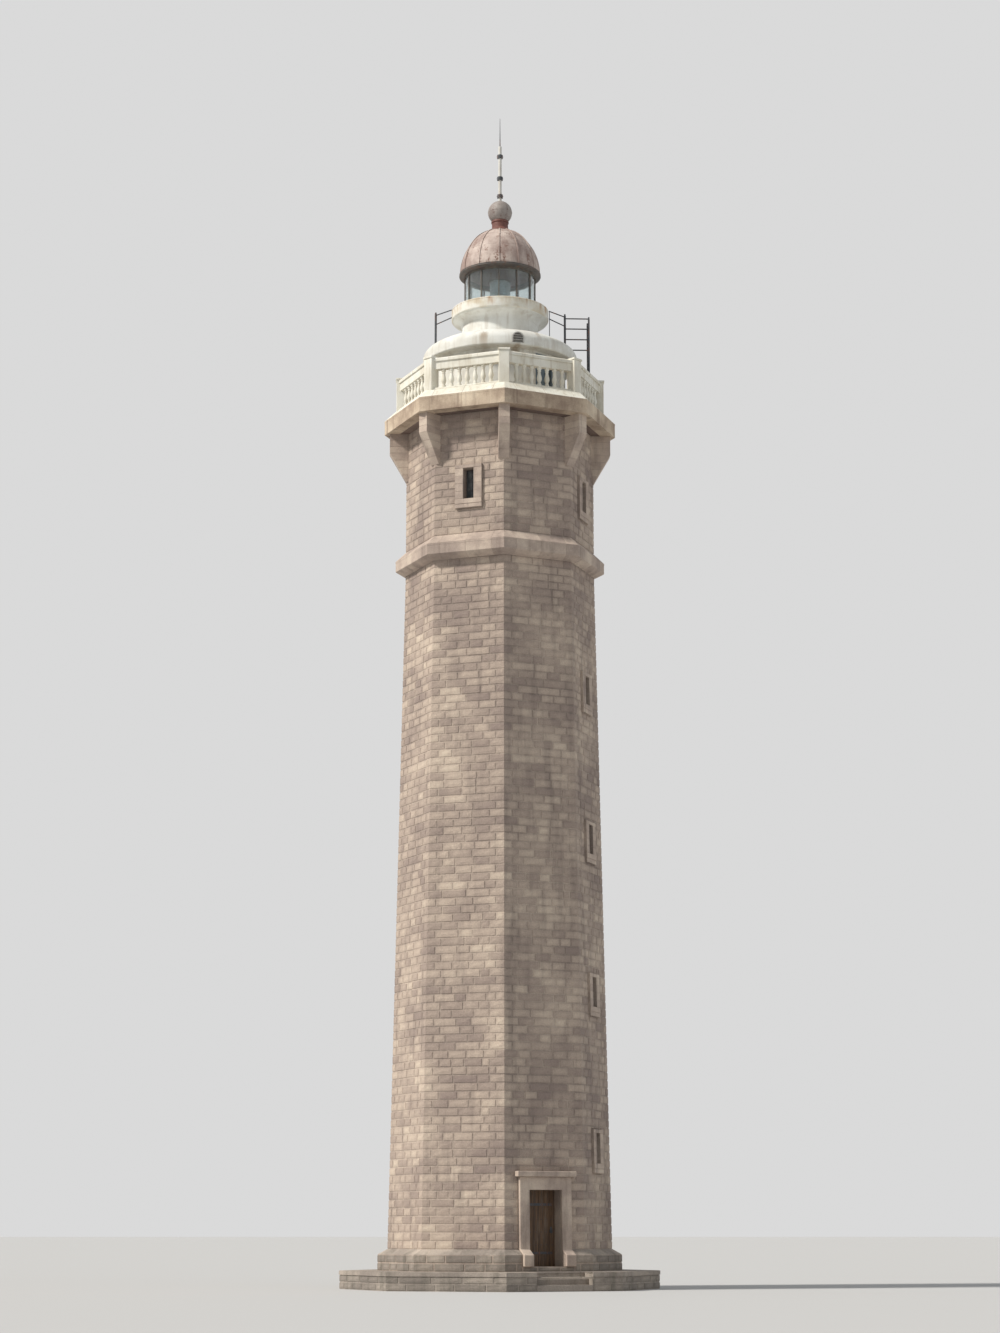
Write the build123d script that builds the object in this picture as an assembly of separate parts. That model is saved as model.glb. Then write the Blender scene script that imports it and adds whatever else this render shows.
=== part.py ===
"""Octagonal granite lighthouse with a balustraded gallery, service room and glazed lantern.

Millimetres, +Z up. The origin is on the tower's axis at ground level.
The octagon's corners lie on the X and Y axes and halfway between them.
"""
import os
from math import acos, cos, radians, sin, sqrt, tan

from build123d import *

# Octagon and clearances
SIDES = 8
SEAT_GAP = 0.3

# Podium and entrance steps
PODIUM_RADIUS = 4870.0
PODIUM_CAP_HEIGHT = 120.0
PODIUM_NOSING = 30.0
STEP_HEIGHT = 180.0
STEP_COUNT = 3
STEP_TREAD = 280.0
STEPS_WIDTH = 1800.0

# Hollow of the tower and its floors
WELL_RADIUS = 1600.0
GROUND_FLOOR_THICKNESS = 150.0
UPPER_FLOOR_THICKNESS = 260.0
HATCH_WIDTH = 900.0
HATCH_OFFSET = 950.0
HATCH_ANGLE = 180.0

# Tower walls
BASE_COURSE_HEIGHT = 640.0
BASE_COURSE_PROJECTION = 300.0
BASE_COURSE_BEVEL = 160.0
SHAFT_BASE_RADIUS = 3400.0
SHAFT_TOP_RADIUS = 3000.0
SHAFT_STAGE_HEIGHT = 6990.0
SHAFT_STAGES = ("lower_shaft", "middle_shaft", "upper_shaft")
STRING_PROJECTION = 330.0
STRING_CAVETTO_HEIGHT = 140.0
STRING_BAND_HEIGHT = 340.0
STRING_WEATHERING_HEIGHT = 300.0
WATCH_ROOM_HEIGHT = 3910.0

# Windows of the watch room and shaft
WINDOW_FACES = (-112.5, -22.5, 67.5, 157.5)
SHAFT_WINDOW_FACES = (-22.5, 157.5)
WINDOW_WIDTH = 350.0
WATCH_WINDOW_HEIGHT = 990.0
WATCH_WINDOW_SILL = 1100.0
SHAFT_WINDOW_HEIGHT = 900.0
SHAFT_WINDOW_LEVELS = 4
SHAFT_WINDOW_SPACING = 4700.0
TOP_WINDOW_BELOW_STRING = 4350.0
SURROUND_BORDER = 270.0
SURROUND_SILL_HEIGHT = 290.0
SURROUND_HEAD_HEIGHT = 110.0
SURROUND_PROJECTION = 90.0
WINDOW_RECESS = 220.0
SASH_BAR = 40.0
SASH_DEPTH = 60.0
GLASS_THICKNESS = 8.0

# Corner corbels under the gallery
CORBEL_WIDTH = 330.0
CORBEL_PROJECTION = 550.0
CORBEL_SHAFT_HEIGHT = 640.0
CORBEL_FLARE_HEIGHT = 960.0

# Gallery slab
SLAB_PROJECTION = 720.0
SLAB_FASCIA_HEIGHT = 460.0
SLAB_WEATHERING_HEIGHT = 280.0
SLAB_WEATHERING_WIDTH = 300.0

# Balustrade
BALUSTRADE_SETBACK = 520.0
KERB_WIDTH = 240.0
KERB_HEIGHT = 100.0
BALUSTERS_PER_SIDE = 7
BALUSTER_HEIGHT = 610.0
BALUSTER_FOOT_RADIUS = 70.0
BALUSTER_BELLY_RADIUS = 80.0
BALUSTER_NECK_RADIUS = 44.0
BALUSTER_PLINTH_HEIGHT = 61.0
BALUSTER_LOW_NECK_HEIGHT = 98.0
BALUSTER_BELLY_HEIGHT = 232.0
BALUSTER_HIGH_NECK_HEIGHT = 464.0
BALUSTER_ABACUS_HEIGHT = 549.0
FRIEZE_WIDTH = 200.0
FRIEZE_HEIGHT = 250.0
COPING_WIDTH = 280.0
COPING_HEIGHT = 120.0
POST_SETBACK = 530.0
POST_WIDTH = 330.0
POST_CAP_OVERHANG = 25.0
POST_CAP_HEIGHT = 60.0
POST_CAP_PEAK_HEIGHT = 45.0
POST_CAP_PEAK_WIDTH = 126.0

# Service room on the gallery
SERVICE_SETBACK = 880.0
SERVICE_WALL = 300.0
SERVICE_HEIGHT = 1550.0
SERVICE_DOOR_ANGLE = -50.0
SERVICE_DOOR_WIDTH = 720.0
SERVICE_DOOR_HEIGHT = 1480.0
SERVICE_FRAME_BAR = 60.0
SERVICE_FRAME_PROUD = 25.0
DOOR_LEAF_THICKNESS = 50.0
DOOR_PANEL_BORDER = 90.0
DOOR_PANEL_DEPTH = 12.0

# Domed roof of the service room
EAVE_OVERHANG = 380.0
EAVE_HEIGHT = 270.0
EAVE_ROUNDING = 60.0
ROOF_HEIGHT = 680.0
ROOF_SHELL = 180.0
DOME_ARCS = 3

# Vent hood on the roof
HOOD_ANGLE = -79.0
HOOD_WIDTH = 390.0
HOOD_HEIGHT = 350.0
HOOD_FOOT_MARGIN = 80.0
HOOD_PROJECTION = 25.0
HOOD_DEPTH = 160.0
HOOD_WALL = 36.0
HOOD_SLATS = 3
HOOD_SLAT_THICKNESS = 12.0

# Lantern base
DRUM_RADIUS = 1240.0
DRUM_WALL = 200.0
DRUM_HEIGHT = 530.0
COVE_HEIGHT = 200.0
COVE_BEND_RADIUS = 1359.0
COVE_BEND_HEIGHT = 120.0
RING_RADIUS = 1580.0
RING_HEIGHT = 360.0
RING_MOULDING = 40.0
LANTERN_FLOOR_THICKNESS = 120.0
LANTERN_FLOOR_DROP = 200.0
LANTERN_HATCH_RADIUS = 290.0
LANTERN_HATCH_OFFSET = 690.0

# Lantern glazing
GLAZING_RADIUS = 1165.0
ASTRAGAL_COUNT = 12
ASTRAGAL_START = -94.0
ASTRAGAL_WIDTH = 34.0
ASTRAGAL_DEPTH = 70.0
GLAZING_HEIGHT = 1160.0
GLAZING_RAIL = 70.0

# Cupola
RIM_RADIUS = 1335.0
RIM_HEIGHT = 100.0
RIM_BEVEL_HEIGHT = 33.0
CUPOLA_RADIUS = 1290.0
CUPOLA_HEIGHT = 1550.0
CUPOLA_SHELL = 40.0
RIB_WIDTH = 46.0
RIB_HEIGHT = 22.0

# Ventilator
NECK_FOOT_RADIUS = 400.0
NECK_RADIUS = 265.0
NECK_HEIGHT = 400.0
NECK_FLARE_HEIGHT = 140.0
BALL_RADIUS = 395.0

# Lightning rod
ROD_RADIUS = 55.0
ROD_HEIGHT = 1930.0
COLLAR_RADIUS = 95.0
COLLAR_HEIGHT = 110.0
COLLAR_LEVELS = (130.0, 750.0, 1520.0)
TIP_RADIUS = 18.0
TIP_END_RADIUS = 6.0
TIP_HEIGHT = 1000.0

# Optic
PEDESTAL_RADIUS = 200.0
PEDESTAL_FLANGE = 300.0
PEDESTAL_FLANGE_HEIGHT = 50.0
PEDESTAL_HEIGHT = 420.0
LENS_RADIUS = 340.0
LENS_HEIGHT = 760.0
LENS_RINGS = 9
LENS_RING_DEPTH = 26.0
LENS_BORE = 250.0
LENS_CAP_HEIGHT = 60.0
LENS_CAP_RADIUS = 360.0
LENS_CAP_TOP_RADIUS = 120.0

# Iron ladder, guard rails and handrails
LADDER_CLEARANCE = 380.0
LADDER_HALF_WIDTH = 300.0
LADDER_TOP = 3190.0
LADDER_BAR = 30.0
RUNG_RADIUS = 15.0
RUNG_SPACING = 300.0
GUARD_POST_SETBACK = 400.0
GUARD_POST_BAR = 36.0
GUARD_POST_TOP = 3280.0
GUARD_LEVELS = (3190.0, 2840.0, 2480.0, 2120.0)
GUARD_BAR = 20.0
HANDRAIL_BAR = 18.0
HANDRAIL_LEVELS = ((3244.0, 3440.0), (2930.0, 3180.0))
STANCHION_BAR = 12.0
STANCHION_CLEARANCE = 20.0

# Entrance
ENTRANCE_ANGLE = -67.5
ENTRANCE_WIDTH = 1050.0
ENTRANCE_HEIGHT = 2200.0
ENTRANCE_BORDER = 320.0
ENTRANCE_LINTEL = 380.0
ENTRANCE_PROJECTION = 130.0
ENTRANCE_HOOD_HEIGHT = 160.0
ENTRANCE_HOOD_PROJECTION = 110.0
ENTRANCE_DOOR_RECESS = 420.0
ENTRANCE_LEAF_THICKNESS = 60.0
ENTRANCE_BOARDS = 6
ENTRANCE_BOARD_GROOVE = 12.0
HINGE_STRAP_HEIGHT = 70.0
HINGE_STRAP_THICKNESS = 8.0
HINGE_STRAP_LEVELS = (350.0, 1750.0)

# Radii of the service room, which stands inside the line of the tower's top
SERVICE_RADIUS = SHAFT_TOP_RADIUS - SERVICE_SETBACK
EAVE_RADIUS = SERVICE_RADIUS + EAVE_OVERHANG

# Levels worked out from the sizes above
PODIUM_TOP = STEP_HEIGHT * STEP_COUNT
GROUND_FLOOR = PODIUM_TOP + GROUND_FLOOR_THICKNESS
PODIUM_CAP_FOOT = PODIUM_TOP - PODIUM_CAP_HEIGHT
SHAFT_FOOT = PODIUM_TOP + BASE_COURSE_HEIGHT
SHAFT_HEIGHT = SHAFT_STAGE_HEIGHT * len(SHAFT_STAGES)
STRING_FOOT = SHAFT_FOOT + SHAFT_HEIGHT
STRING_HEIGHT = STRING_CAVETTO_HEIGHT + STRING_BAND_HEIGHT + STRING_WEATHERING_HEIGHT
WATCH_ROOM_FOOT = STRING_FOOT + STRING_HEIGHT
SLAB_FOOT = WATCH_ROOM_FOOT + WATCH_ROOM_HEIGHT
SLAB_EDGE = SLAB_FOOT + SLAB_FASCIA_HEIGHT
DECK = SLAB_EDGE + SLAB_WEATHERING_HEIGHT
KERB_TOP = DECK + KERB_HEIGHT
BALUSTER_TOP = KERB_TOP + BALUSTER_HEIGHT
RAIL_TOP = BALUSTER_TOP + FRIEZE_HEIGHT + COPING_HEIGHT
EAVE_FOOT = DECK + SERVICE_HEIGHT
EAVE_TOP = EAVE_FOOT + EAVE_HEIGHT
HOOD_FOOT = EAVE_FOOT + HOOD_FOOT_MARGIN
ROOF_CROWN = EAVE_TOP + ROOF_HEIGHT * sqrt(1 - (DRUM_RADIUS / EAVE_RADIUS) ** 2)
COVE_FOOT = ROOF_CROWN + DRUM_HEIGHT
RING_FOOT = COVE_FOOT + COVE_HEIGHT
RING_TOP = RING_FOOT + RING_HEIGHT
LANTERN_FLOOR = RING_TOP - LANTERN_FLOOR_DROP
GLAZING_TOP = RING_TOP + GLAZING_HEIGHT
CUPOLA_FOOT = GLAZING_TOP + RIM_HEIGHT
NECK_FOOT = CUPOLA_FOOT + CUPOLA_HEIGHT * sqrt(1 - (NECK_FOOT_RADIUS / CUPOLA_RADIUS) ** 2)
NECK_TOP = NECK_FOOT + NECK_HEIGHT
BALL_CENTRE = NECK_TOP + sqrt(BALL_RADIUS**2 - NECK_RADIUS**2)
ROD_FOOT = BALL_CENTRE + sqrt(BALL_RADIUS**2 - ROD_RADIUS**2)
ROD_TOP = ROD_FOOT + ROD_HEIGHT

# Lengths worked out from the sizes above
APOTHEM = cos(radians(180 / SIDES))
FACES = [360 / SIDES * (k + 0.5) for k in range(SIDES)]
CORNERS = [360 / SIDES * k for k in range(SIDES)]
DRUM_BORE = DRUM_RADIUS - DRUM_WALL
BASE_COURSE_RADIUS = SHAFT_BASE_RADIUS + BASE_COURSE_PROJECTION
STRING_RADIUS = SHAFT_TOP_RADIUS + STRING_PROJECTION
CORBEL_RADIUS = SHAFT_TOP_RADIUS + CORBEL_PROJECTION
SLAB_RADIUS = SHAFT_TOP_RADIUS + SLAB_PROJECTION
BALUSTRADE_RADIUS = SLAB_RADIUS - BALUSTRADE_SETBACK
POST_RADIUS = SLAB_RADIUS - POST_SETBACK
HOOD_FACE_RADIUS = EAVE_RADIUS + HOOD_PROJECTION
LADDER_RADIUS = EAVE_RADIUS + LADDER_CLEARANCE
GUARD_POST_RADIUS = EAVE_RADIUS - GUARD_POST_SETBACK
STANCHION_RADIUS = RING_RADIUS + STANCHION_CLEARANCE
CORE_RADIUS = WELL_RADIUS / 2
REACH = PODIUM_RADIUS


def octagon(radius, level):
    """A flat octagon with its corners at this radius, at this level."""
    return Pos(0, 0, level) * RegularPolygon(radius, SIDES)


def octagon_block(radius, foot, top):
    """An upright octagonal block."""
    return extrude(octagon(radius, foot), top - foot)


def octagon_taper(foot_radius, foot, top_radius, top):
    """An octagonal block whose sides lean from one radius to another."""
    return loft([octagon(foot_radius, foot), octagon(top_radius, top)], ruled=True)


def disc(radius, foot, top):
    """A round block on the tower's axis."""
    return Pos(0, 0, foot) * Cylinder(
        radius, top - foot, align=(Align.CENTER, Align.CENTER, Align.MIN)
    )


def tube(outer, inner, foot, top):
    """A round wall on the tower's axis."""
    return disc(outer, foot, top) - disc(inner, foot, top)


def turned(points):
    """A solid turned about the tower's axis from (radius, level) points."""
    outline = Polyline([(r, 0, z) for r, z in points], close=True)
    return revolve(make_face(outline), Axis.Z)


def block(inner, outer, width, foot, top, angle):
    """A box from one radius out to another, facing this angle."""
    box = Box(outer - inner, width, top - foot, align=(Align.MIN, Align.CENTER, Align.MIN))
    return Rot(0, 0, angle) * Pos(inner, 0, foot) * box


def bar(start, end, radius):
    """A round bar between two points."""
    along = Vector(*end) - Vector(*start)
    return Plane(origin=start, z_dir=along) * Cylinder(
        radius, along.length, align=(Align.CENTER, Align.CENTER, Align.MIN)
    )


def joined(shapes):
    """Several solids fused or kept side by side as one shape."""
    first, *rest = shapes
    return first + rest if rest else first


def save(shape, node):
    """Write one named piece."""
    export_step(shape, f"parts/{node}.step")


def shaft_radius(level):
    """Corner radius of the leaning shaft wall at this level."""
    share = (level - SHAFT_FOOT) / SHAFT_HEIGHT
    return SHAFT_BASE_RADIUS + (SHAFT_TOP_RADIUS - SHAFT_BASE_RADIUS) * share


def hatch(foot, top):
    """The stair hatch through an upper floor."""
    inner = HATCH_OFFSET - HATCH_WIDTH / 2
    return block(inner, inner + HATCH_WIDTH, HATCH_WIDTH, foot, top, HATCH_ANGLE)


def shaft_window_sills():
    """Sill levels of the shaft's windows, from the top one down."""
    top = STRING_FOOT - TOP_WINDOW_BELOW_STRING
    return [top - SHAFT_WINDOW_SPACING * k for k in range(SHAFT_WINDOW_LEVELS)]


def window_places():
    """Sill level, opening height, face angle and wall face distance of each window."""
    watch_sill = WATCH_ROOM_FOOT + WATCH_WINDOW_SILL
    watch_face = SHAFT_TOP_RADIUS * APOTHEM
    watch = [(watch_sill, WATCH_WINDOW_HEIGHT, face, watch_face) for face in WINDOW_FACES]
    shaft = [
        (sill, SHAFT_WINDOW_HEIGHT, face, shaft_radius(sill) * APOTHEM)
        for sill in shaft_window_sills()
        for face in SHAFT_WINDOW_FACES
    ]
    return watch + shaft


def window_cut(sill, height, face):
    """The opening of one window, from the well to outside the wall."""
    return block(CORE_RADIUS, REACH, WINDOW_WIDTH, sill, sill + height, face)


def entrance_cut(border=0.0, head=0.0):
    """The doorway opening, or a larger block around it."""
    width = ENTRANCE_WIDTH + 2 * border
    top = GROUND_FLOOR + ENTRANCE_HEIGHT + head
    return block(CORE_RADIUS, REACH, width, GROUND_FLOOR, top, ENTRANCE_ANGLE)


def leaning_shaft(outset=0.0):
    """The shaft's whole outer form, or one standing proud of it."""
    return octagon_taper(
        SHAFT_BASE_RADIUS + outset, SHAFT_FOOT, SHAFT_TOP_RADIUS + outset, STRING_FOOT
    )


def base_course_form(outset=0.0):
    """The base course's outer form with its sloping top edge."""
    bevel_foot = SHAFT_FOOT - BASE_COURSE_BEVEL
    upright = octagon_block(BASE_COURSE_RADIUS + outset, PODIUM_TOP, bevel_foot)
    slope = octagon_taper(
        BASE_COURSE_RADIUS + outset, bevel_foot, SHAFT_BASE_RADIUS + outset, SHAFT_FOOT
    )
    return upright + slope


def make_podium():
    """Octagonal masonry platform under a nosed cap, with a notch for the entrance steps."""
    face = PODIUM_RADIUS * APOTHEM
    run = STEP_TREAD * (STEP_COUNT - 1)
    notch = block(face - run, REACH, STEPS_WIDTH, 0, PODIUM_TOP, ENTRANCE_ANGLE)
    platform = octagon_block(PODIUM_RADIUS - PODIUM_NOSING, 0, PODIUM_CAP_FOOT)
    platform += octagon_block(PODIUM_RADIUS, PODIUM_CAP_FOOT, PODIUM_TOP)
    save(platform - notch, "podium")
    steps = [
        block(
            face - run + STEP_TREAD * k,
            face - run + STEP_TREAD * (k + 1),
            STEPS_WIDTH,
            0,
            PODIUM_TOP - STEP_HEIGHT * (k + 1),
            ENTRANCE_ANGLE,
        )
        for k in range(STEP_COUNT - 1)
    ]
    save(joined(steps), "entrance_steps")


def make_tower_walls():
    """Base course, ground floor and the leaning shaft in stages."""
    well = disc(WELL_RADIUS, PODIUM_TOP, SLAB_FOOT)
    save(base_course_form() - well - entrance_cut(), "base_course")
    save(disc(WELL_RADIUS - SEAT_GAP, PODIUM_TOP, GROUND_FLOOR), "ground_floor")
    shaft = leaning_shaft() - well - entrance_cut()
    for sill in shaft_window_sills():
        for face in SHAFT_WINDOW_FACES:
            shaft -= window_cut(sill, SHAFT_WINDOW_HEIGHT, face)
    for k, node in enumerate(SHAFT_STAGES):
        foot = SHAFT_FOOT + SHAFT_STAGE_HEIGHT * k
        save(shaft & disc(REACH, foot, foot + SHAFT_STAGE_HEIGHT), node)


def make_string_course():
    """Moulded band between the shaft and the watch room, and the floor inside it."""
    band_foot = STRING_FOOT + STRING_CAVETTO_HEIGHT
    band_top = band_foot + STRING_BAND_HEIGHT
    form = octagon_taper(SHAFT_TOP_RADIUS, STRING_FOOT, STRING_RADIUS, band_foot)
    form += octagon_block(STRING_RADIUS, band_foot, band_top)
    form += octagon_taper(STRING_RADIUS, band_top, SHAFT_TOP_RADIUS, WATCH_ROOM_FOOT)
    save(form - disc(WELL_RADIUS, STRING_FOOT, WATCH_ROOM_FOOT), "string_course")
    floor_top = STRING_FOOT + UPPER_FLOOR_THICKNESS
    floor = disc(WELL_RADIUS - SEAT_GAP, STRING_FOOT, floor_top)
    save(floor - hatch(STRING_FOOT, floor_top), "watch_room_floor")


def make_watch_room():
    """Upright octagonal wall under the gallery with four windows."""
    wall = octagon_block(SHAFT_TOP_RADIUS, WATCH_ROOM_FOOT, SLAB_FOOT)
    wall -= disc(WELL_RADIUS, WATCH_ROOM_FOOT, SLAB_FOOT)
    sill = WATCH_ROOM_FOOT + WATCH_WINDOW_SILL
    for face in WINDOW_FACES:
        wall -= window_cut(sill, WATCH_WINDOW_HEIGHT, face)
    save(wall, "watch_room_wall")


def make_windows():
    """Raised stone surrounds, sashes and glass of all tower windows."""
    watch_core = octagon_block(SHAFT_TOP_RADIUS, WATCH_ROOM_FOOT, SLAB_FOOT)
    watch_skin = (
        octagon_block(SHAFT_TOP_RADIUS + SURROUND_PROJECTION, WATCH_ROOM_FOOT, SLAB_FOOT)
        - watch_core
    )
    shaft_skin = leaning_shaft(SURROUND_PROJECTION) - leaning_shaft()
    surrounds, sashes, panes = [], [], []
    for sill, height, face, wall_face in window_places():
        skin = watch_skin if sill > WATCH_ROOM_FOOT else shaft_skin
        border = block(
            WELL_RADIUS,
            REACH,
            WINDOW_WIDTH + 2 * SURROUND_BORDER,
            sill - SURROUND_SILL_HEIGHT,
            sill + height + SURROUND_HEAD_HEIGHT,
            face,
        )
        surrounds.append((skin & border) - window_cut(sill, height, face))
        sash_face = wall_face - WINDOW_RECESS
        outer = block(
            sash_face - SASH_DEPTH,
            sash_face,
            WINDOW_WIDTH - 2 * SEAT_GAP,
            sill + SEAT_GAP,
            sill + height - SEAT_GAP,
            face,
        )
        light = block(
            sash_face - SASH_DEPTH,
            sash_face,
            WINDOW_WIDTH - 2 * SASH_BAR,
            sill + SASH_BAR,
            sill + height - SASH_BAR,
            face,
        )
        sashes.append(outer - light)
        glass_face = sash_face - SASH_DEPTH / 2
        panes.append(
            block(
                glass_face - GLASS_THICKNESS,
                glass_face,
                WINDOW_WIDTH - 2 * (SASH_BAR + SEAT_GAP),
                sill + SASH_BAR + SEAT_GAP,
                sill + height - SASH_BAR - SEAT_GAP,
                face,
            )
        )
    save(joined(surrounds), "window_surrounds")
    save(joined(sashes), "window_sashes")
    save(joined(panes), "window_glass")


def make_corner_corbels():
    """Corbels that flare out of the wall's corners and carry the gallery."""
    shaft_foot = SLAB_FOOT - CORBEL_SHAFT_HEIGHT
    flare_foot = shaft_foot - CORBEL_FLARE_HEIGHT
    profile = Polyline(
        (WELL_RADIUS, 0, flare_foot),
        (SHAFT_TOP_RADIUS, 0, flare_foot),
        (CORBEL_RADIUS, 0, shaft_foot),
        (CORBEL_RADIUS, 0, SLAB_FOOT),
        (WELL_RADIUS, 0, SLAB_FOOT),
        close=True,
    )
    corbel = extrude(make_face(profile), CORBEL_WIDTH / 2, both=True)
    wall = octagon_block(SHAFT_TOP_RADIUS, WATCH_ROOM_FOOT, SLAB_FOOT)
    corbel = corbel - wall
    save(joined([Rot(0, 0, corner) * corbel for corner in CORNERS]), "corner_corbels")


def make_gallery_slab():
    """Projecting slab with an upright fascia and a sloping top edge."""
    deck_radius = SLAB_RADIUS - SLAB_WEATHERING_WIDTH
    slab = octagon_block(SLAB_RADIUS, SLAB_FOOT, SLAB_EDGE)
    slab += octagon_taper(SLAB_RADIUS, SLAB_EDGE, deck_radius, DECK)
    save(slab - hatch(SLAB_FOOT, DECK), "gallery_slab")


def octagon_ring(radius, width, foot, top):
    """An octagonal ring whose centre line has its corners at this radius."""
    half = width / 2 / APOTHEM
    return octagon_block(radius + half, foot, top) - octagon_block(radius - half, foot, top)


def make_balustrade():
    """Corner posts, kerb, turned balusters, frieze and coping around the gallery."""
    shafts = [
        block(
            POST_RADIUS - POST_WIDTH / 2,
            POST_RADIUS + POST_WIDTH / 2,
            POST_WIDTH,
            DECK,
            RAIL_TOP,
            corner,
        )
        for corner in CORNERS
    ]
    cap_foot = RAIL_TOP
    cap_width = POST_WIDTH + 2 * POST_CAP_OVERHANG
    cap = Pos(POST_RADIUS, 0, cap_foot) * Box(
        cap_width, cap_width, POST_CAP_HEIGHT, align=(Align.CENTER, Align.CENTER, Align.MIN)
    )
    cap_top = cap_foot + POST_CAP_HEIGHT
    cap += loft(
        [
            Pos(POST_RADIUS, 0, cap_top) * Rectangle(cap_width, cap_width),
            Pos(POST_RADIUS, 0, cap_top + POST_CAP_PEAK_HEIGHT)
            * Rectangle(POST_CAP_PEAK_WIDTH, POST_CAP_PEAK_WIDTH),
        ],
        ruled=True,
    )
    caps = [Rot(0, 0, corner) * cap for corner in CORNERS]
    save(joined(shafts), "balustrade_posts")
    save(joined(caps), "balustrade_post_caps")
    kerb = octagon_ring(BALUSTRADE_RADIUS, KERB_WIDTH, DECK, KERB_TOP)
    frieze = octagon_ring(BALUSTRADE_RADIUS, FRIEZE_WIDTH, BALUSTER_TOP, RAIL_TOP - COPING_HEIGHT)
    coping = octagon_ring(BALUSTRADE_RADIUS, COPING_WIDTH, RAIL_TOP - COPING_HEIGHT, RAIL_TOP)
    for shaft in shafts:
        kerb -= shaft
        frieze -= shaft
        coping -= shaft
    save(kerb, "balustrade_kerb")
    save(frieze, "balustrade_frieze")
    save(coping, "balustrade_coping")
    save(joined(place_balusters(turned_baluster())), "balusters")


def turned_baluster():
    """One vase-shaped baluster on its own axis, standing on the kerb."""
    foot, belly, neck = BALUSTER_FOOT_RADIUS, BALUSTER_BELLY_RADIUS, BALUSTER_NECK_RADIUS
    return turned(
        [
            (0, 0),
            (foot, 0),
            (foot, BALUSTER_PLINTH_HEIGHT),
            (neck, BALUSTER_LOW_NECK_HEIGHT),
            (belly, BALUSTER_BELLY_HEIGHT),
            (neck, BALUSTER_HIGH_NECK_HEIGHT),
            (foot, BALUSTER_ABACUS_HEIGHT),
            (foot, BALUSTER_HEIGHT),
            (0, BALUSTER_HEIGHT),
        ]
    )


def place_balusters(baluster):
    """Balusters evenly spaced between the corner posts on every side."""
    line = BALUSTRADE_RADIUS * APOTHEM
    clear = 2 * line * tan(radians(180 / SIDES)) - POST_WIDTH
    pitch = clear / (BALUSTERS_PER_SIDE + 1)
    middle = (BALUSTERS_PER_SIDE - 1) / 2
    return [
        Rot(0, 0, face) * Pos(line, (k - middle) * pitch, KERB_TOP) * baluster
        for face in FACES
        for k in range(BALUSTERS_PER_SIDE)
    ]


def make_service_room():
    """Round plastered room on the gallery with its closed door."""
    inner = SERVICE_RADIUS - SERVICE_WALL
    wall = tube(SERVICE_RADIUS, inner, DECK, EAVE_FOOT)
    door_top = DECK + SERVICE_DOOR_HEIGHT
    cut = block(0, REACH, SERVICE_DOOR_WIDTH, DECK, door_top, SERVICE_DOOR_ANGLE)
    save(wall - cut, "service_room_wall")
    lining = tube(SERVICE_RADIUS + SERVICE_FRAME_PROUD, inner, DECK, EAVE_FOOT)
    passage_width = SERVICE_DOOR_WIDTH - 2 * SERVICE_FRAME_BAR
    passage_top = door_top - SERVICE_FRAME_BAR
    passage = block(0, REACH, passage_width, DECK, passage_top, SERVICE_DOOR_ANGLE)
    save((lining & cut) - passage, "service_door_frame")
    leaf_face = inner + SERVICE_WALL / 2
    leaf_width = passage_width - 2 * SEAT_GAP
    leaf_top = passage_top - SEAT_GAP
    leaf = block(
        leaf_face - DOOR_LEAF_THICKNESS, leaf_face, leaf_width, DECK, leaf_top, SERVICE_DOOR_ANGLE
    )
    middle = (DECK + leaf_top) / 2
    for foot, top in ((DECK, middle), (middle, leaf_top)):
        leaf -= block(
            leaf_face - DOOR_PANEL_DEPTH,
            REACH,
            leaf_width - 2 * DOOR_PANEL_BORDER,
            foot + DOOR_PANEL_BORDER,
            top - DOOR_PANEL_BORDER,
            SERVICE_DOOR_ANGLE,
        )
    save(leaf, "service_door")


def dome_curve(radius, rise, level, top_radius):
    """A dome's meridian as tangent-like arcs, from its foot up to its top radius."""
    top = acos(top_radius / radius)
    turns = [top * k / (2 * DOME_ARCS) for k in range(2 * DOME_ARCS + 1)]
    points = [(radius * cos(turn), 0, level + rise * sin(turn)) for turn in turns]
    arcs = [ThreePointArc(*points[2 * k : 2 * k + 3]) for k in range(DOME_ARCS)]
    return arcs, points[0], points[-1]


def dome_below(radius, rise, level, top_radius):
    """The solid space under a dome, flat on top at its top radius."""
    arcs, foot, top = dome_curve(radius, rise, level, top_radius)
    axis_foot, axis_top = (0, 0, foot[2]), (0, 0, top[2])
    edges = [*arcs, Line(top, axis_top), Line(axis_top, axis_foot), Line(axis_foot, foot)]
    return revolve(make_face(edges), Axis.Z)


def dome_section(radius, rise, level, shell, top_radius, bore):
    """The upright section of a dome's shell, cut level on top for what stands there."""
    outside, foot, top = dome_curve(radius, rise, level, top_radius)
    inside, inner_foot, inner_top = dome_curve(radius - shell, rise - shell, level, bore)
    rim = (bore, 0, top[2])
    joins = [Line(top, rim), Line(rim, inner_top), Line(inner_foot, foot)]
    return make_face([*outside, *joins, *inside])


def roof_below():
    """The solid space under the service room's roof."""
    return dome_below(EAVE_RADIUS, ROOF_HEIGHT, EAVE_TOP, DRUM_RADIUS)


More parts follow.
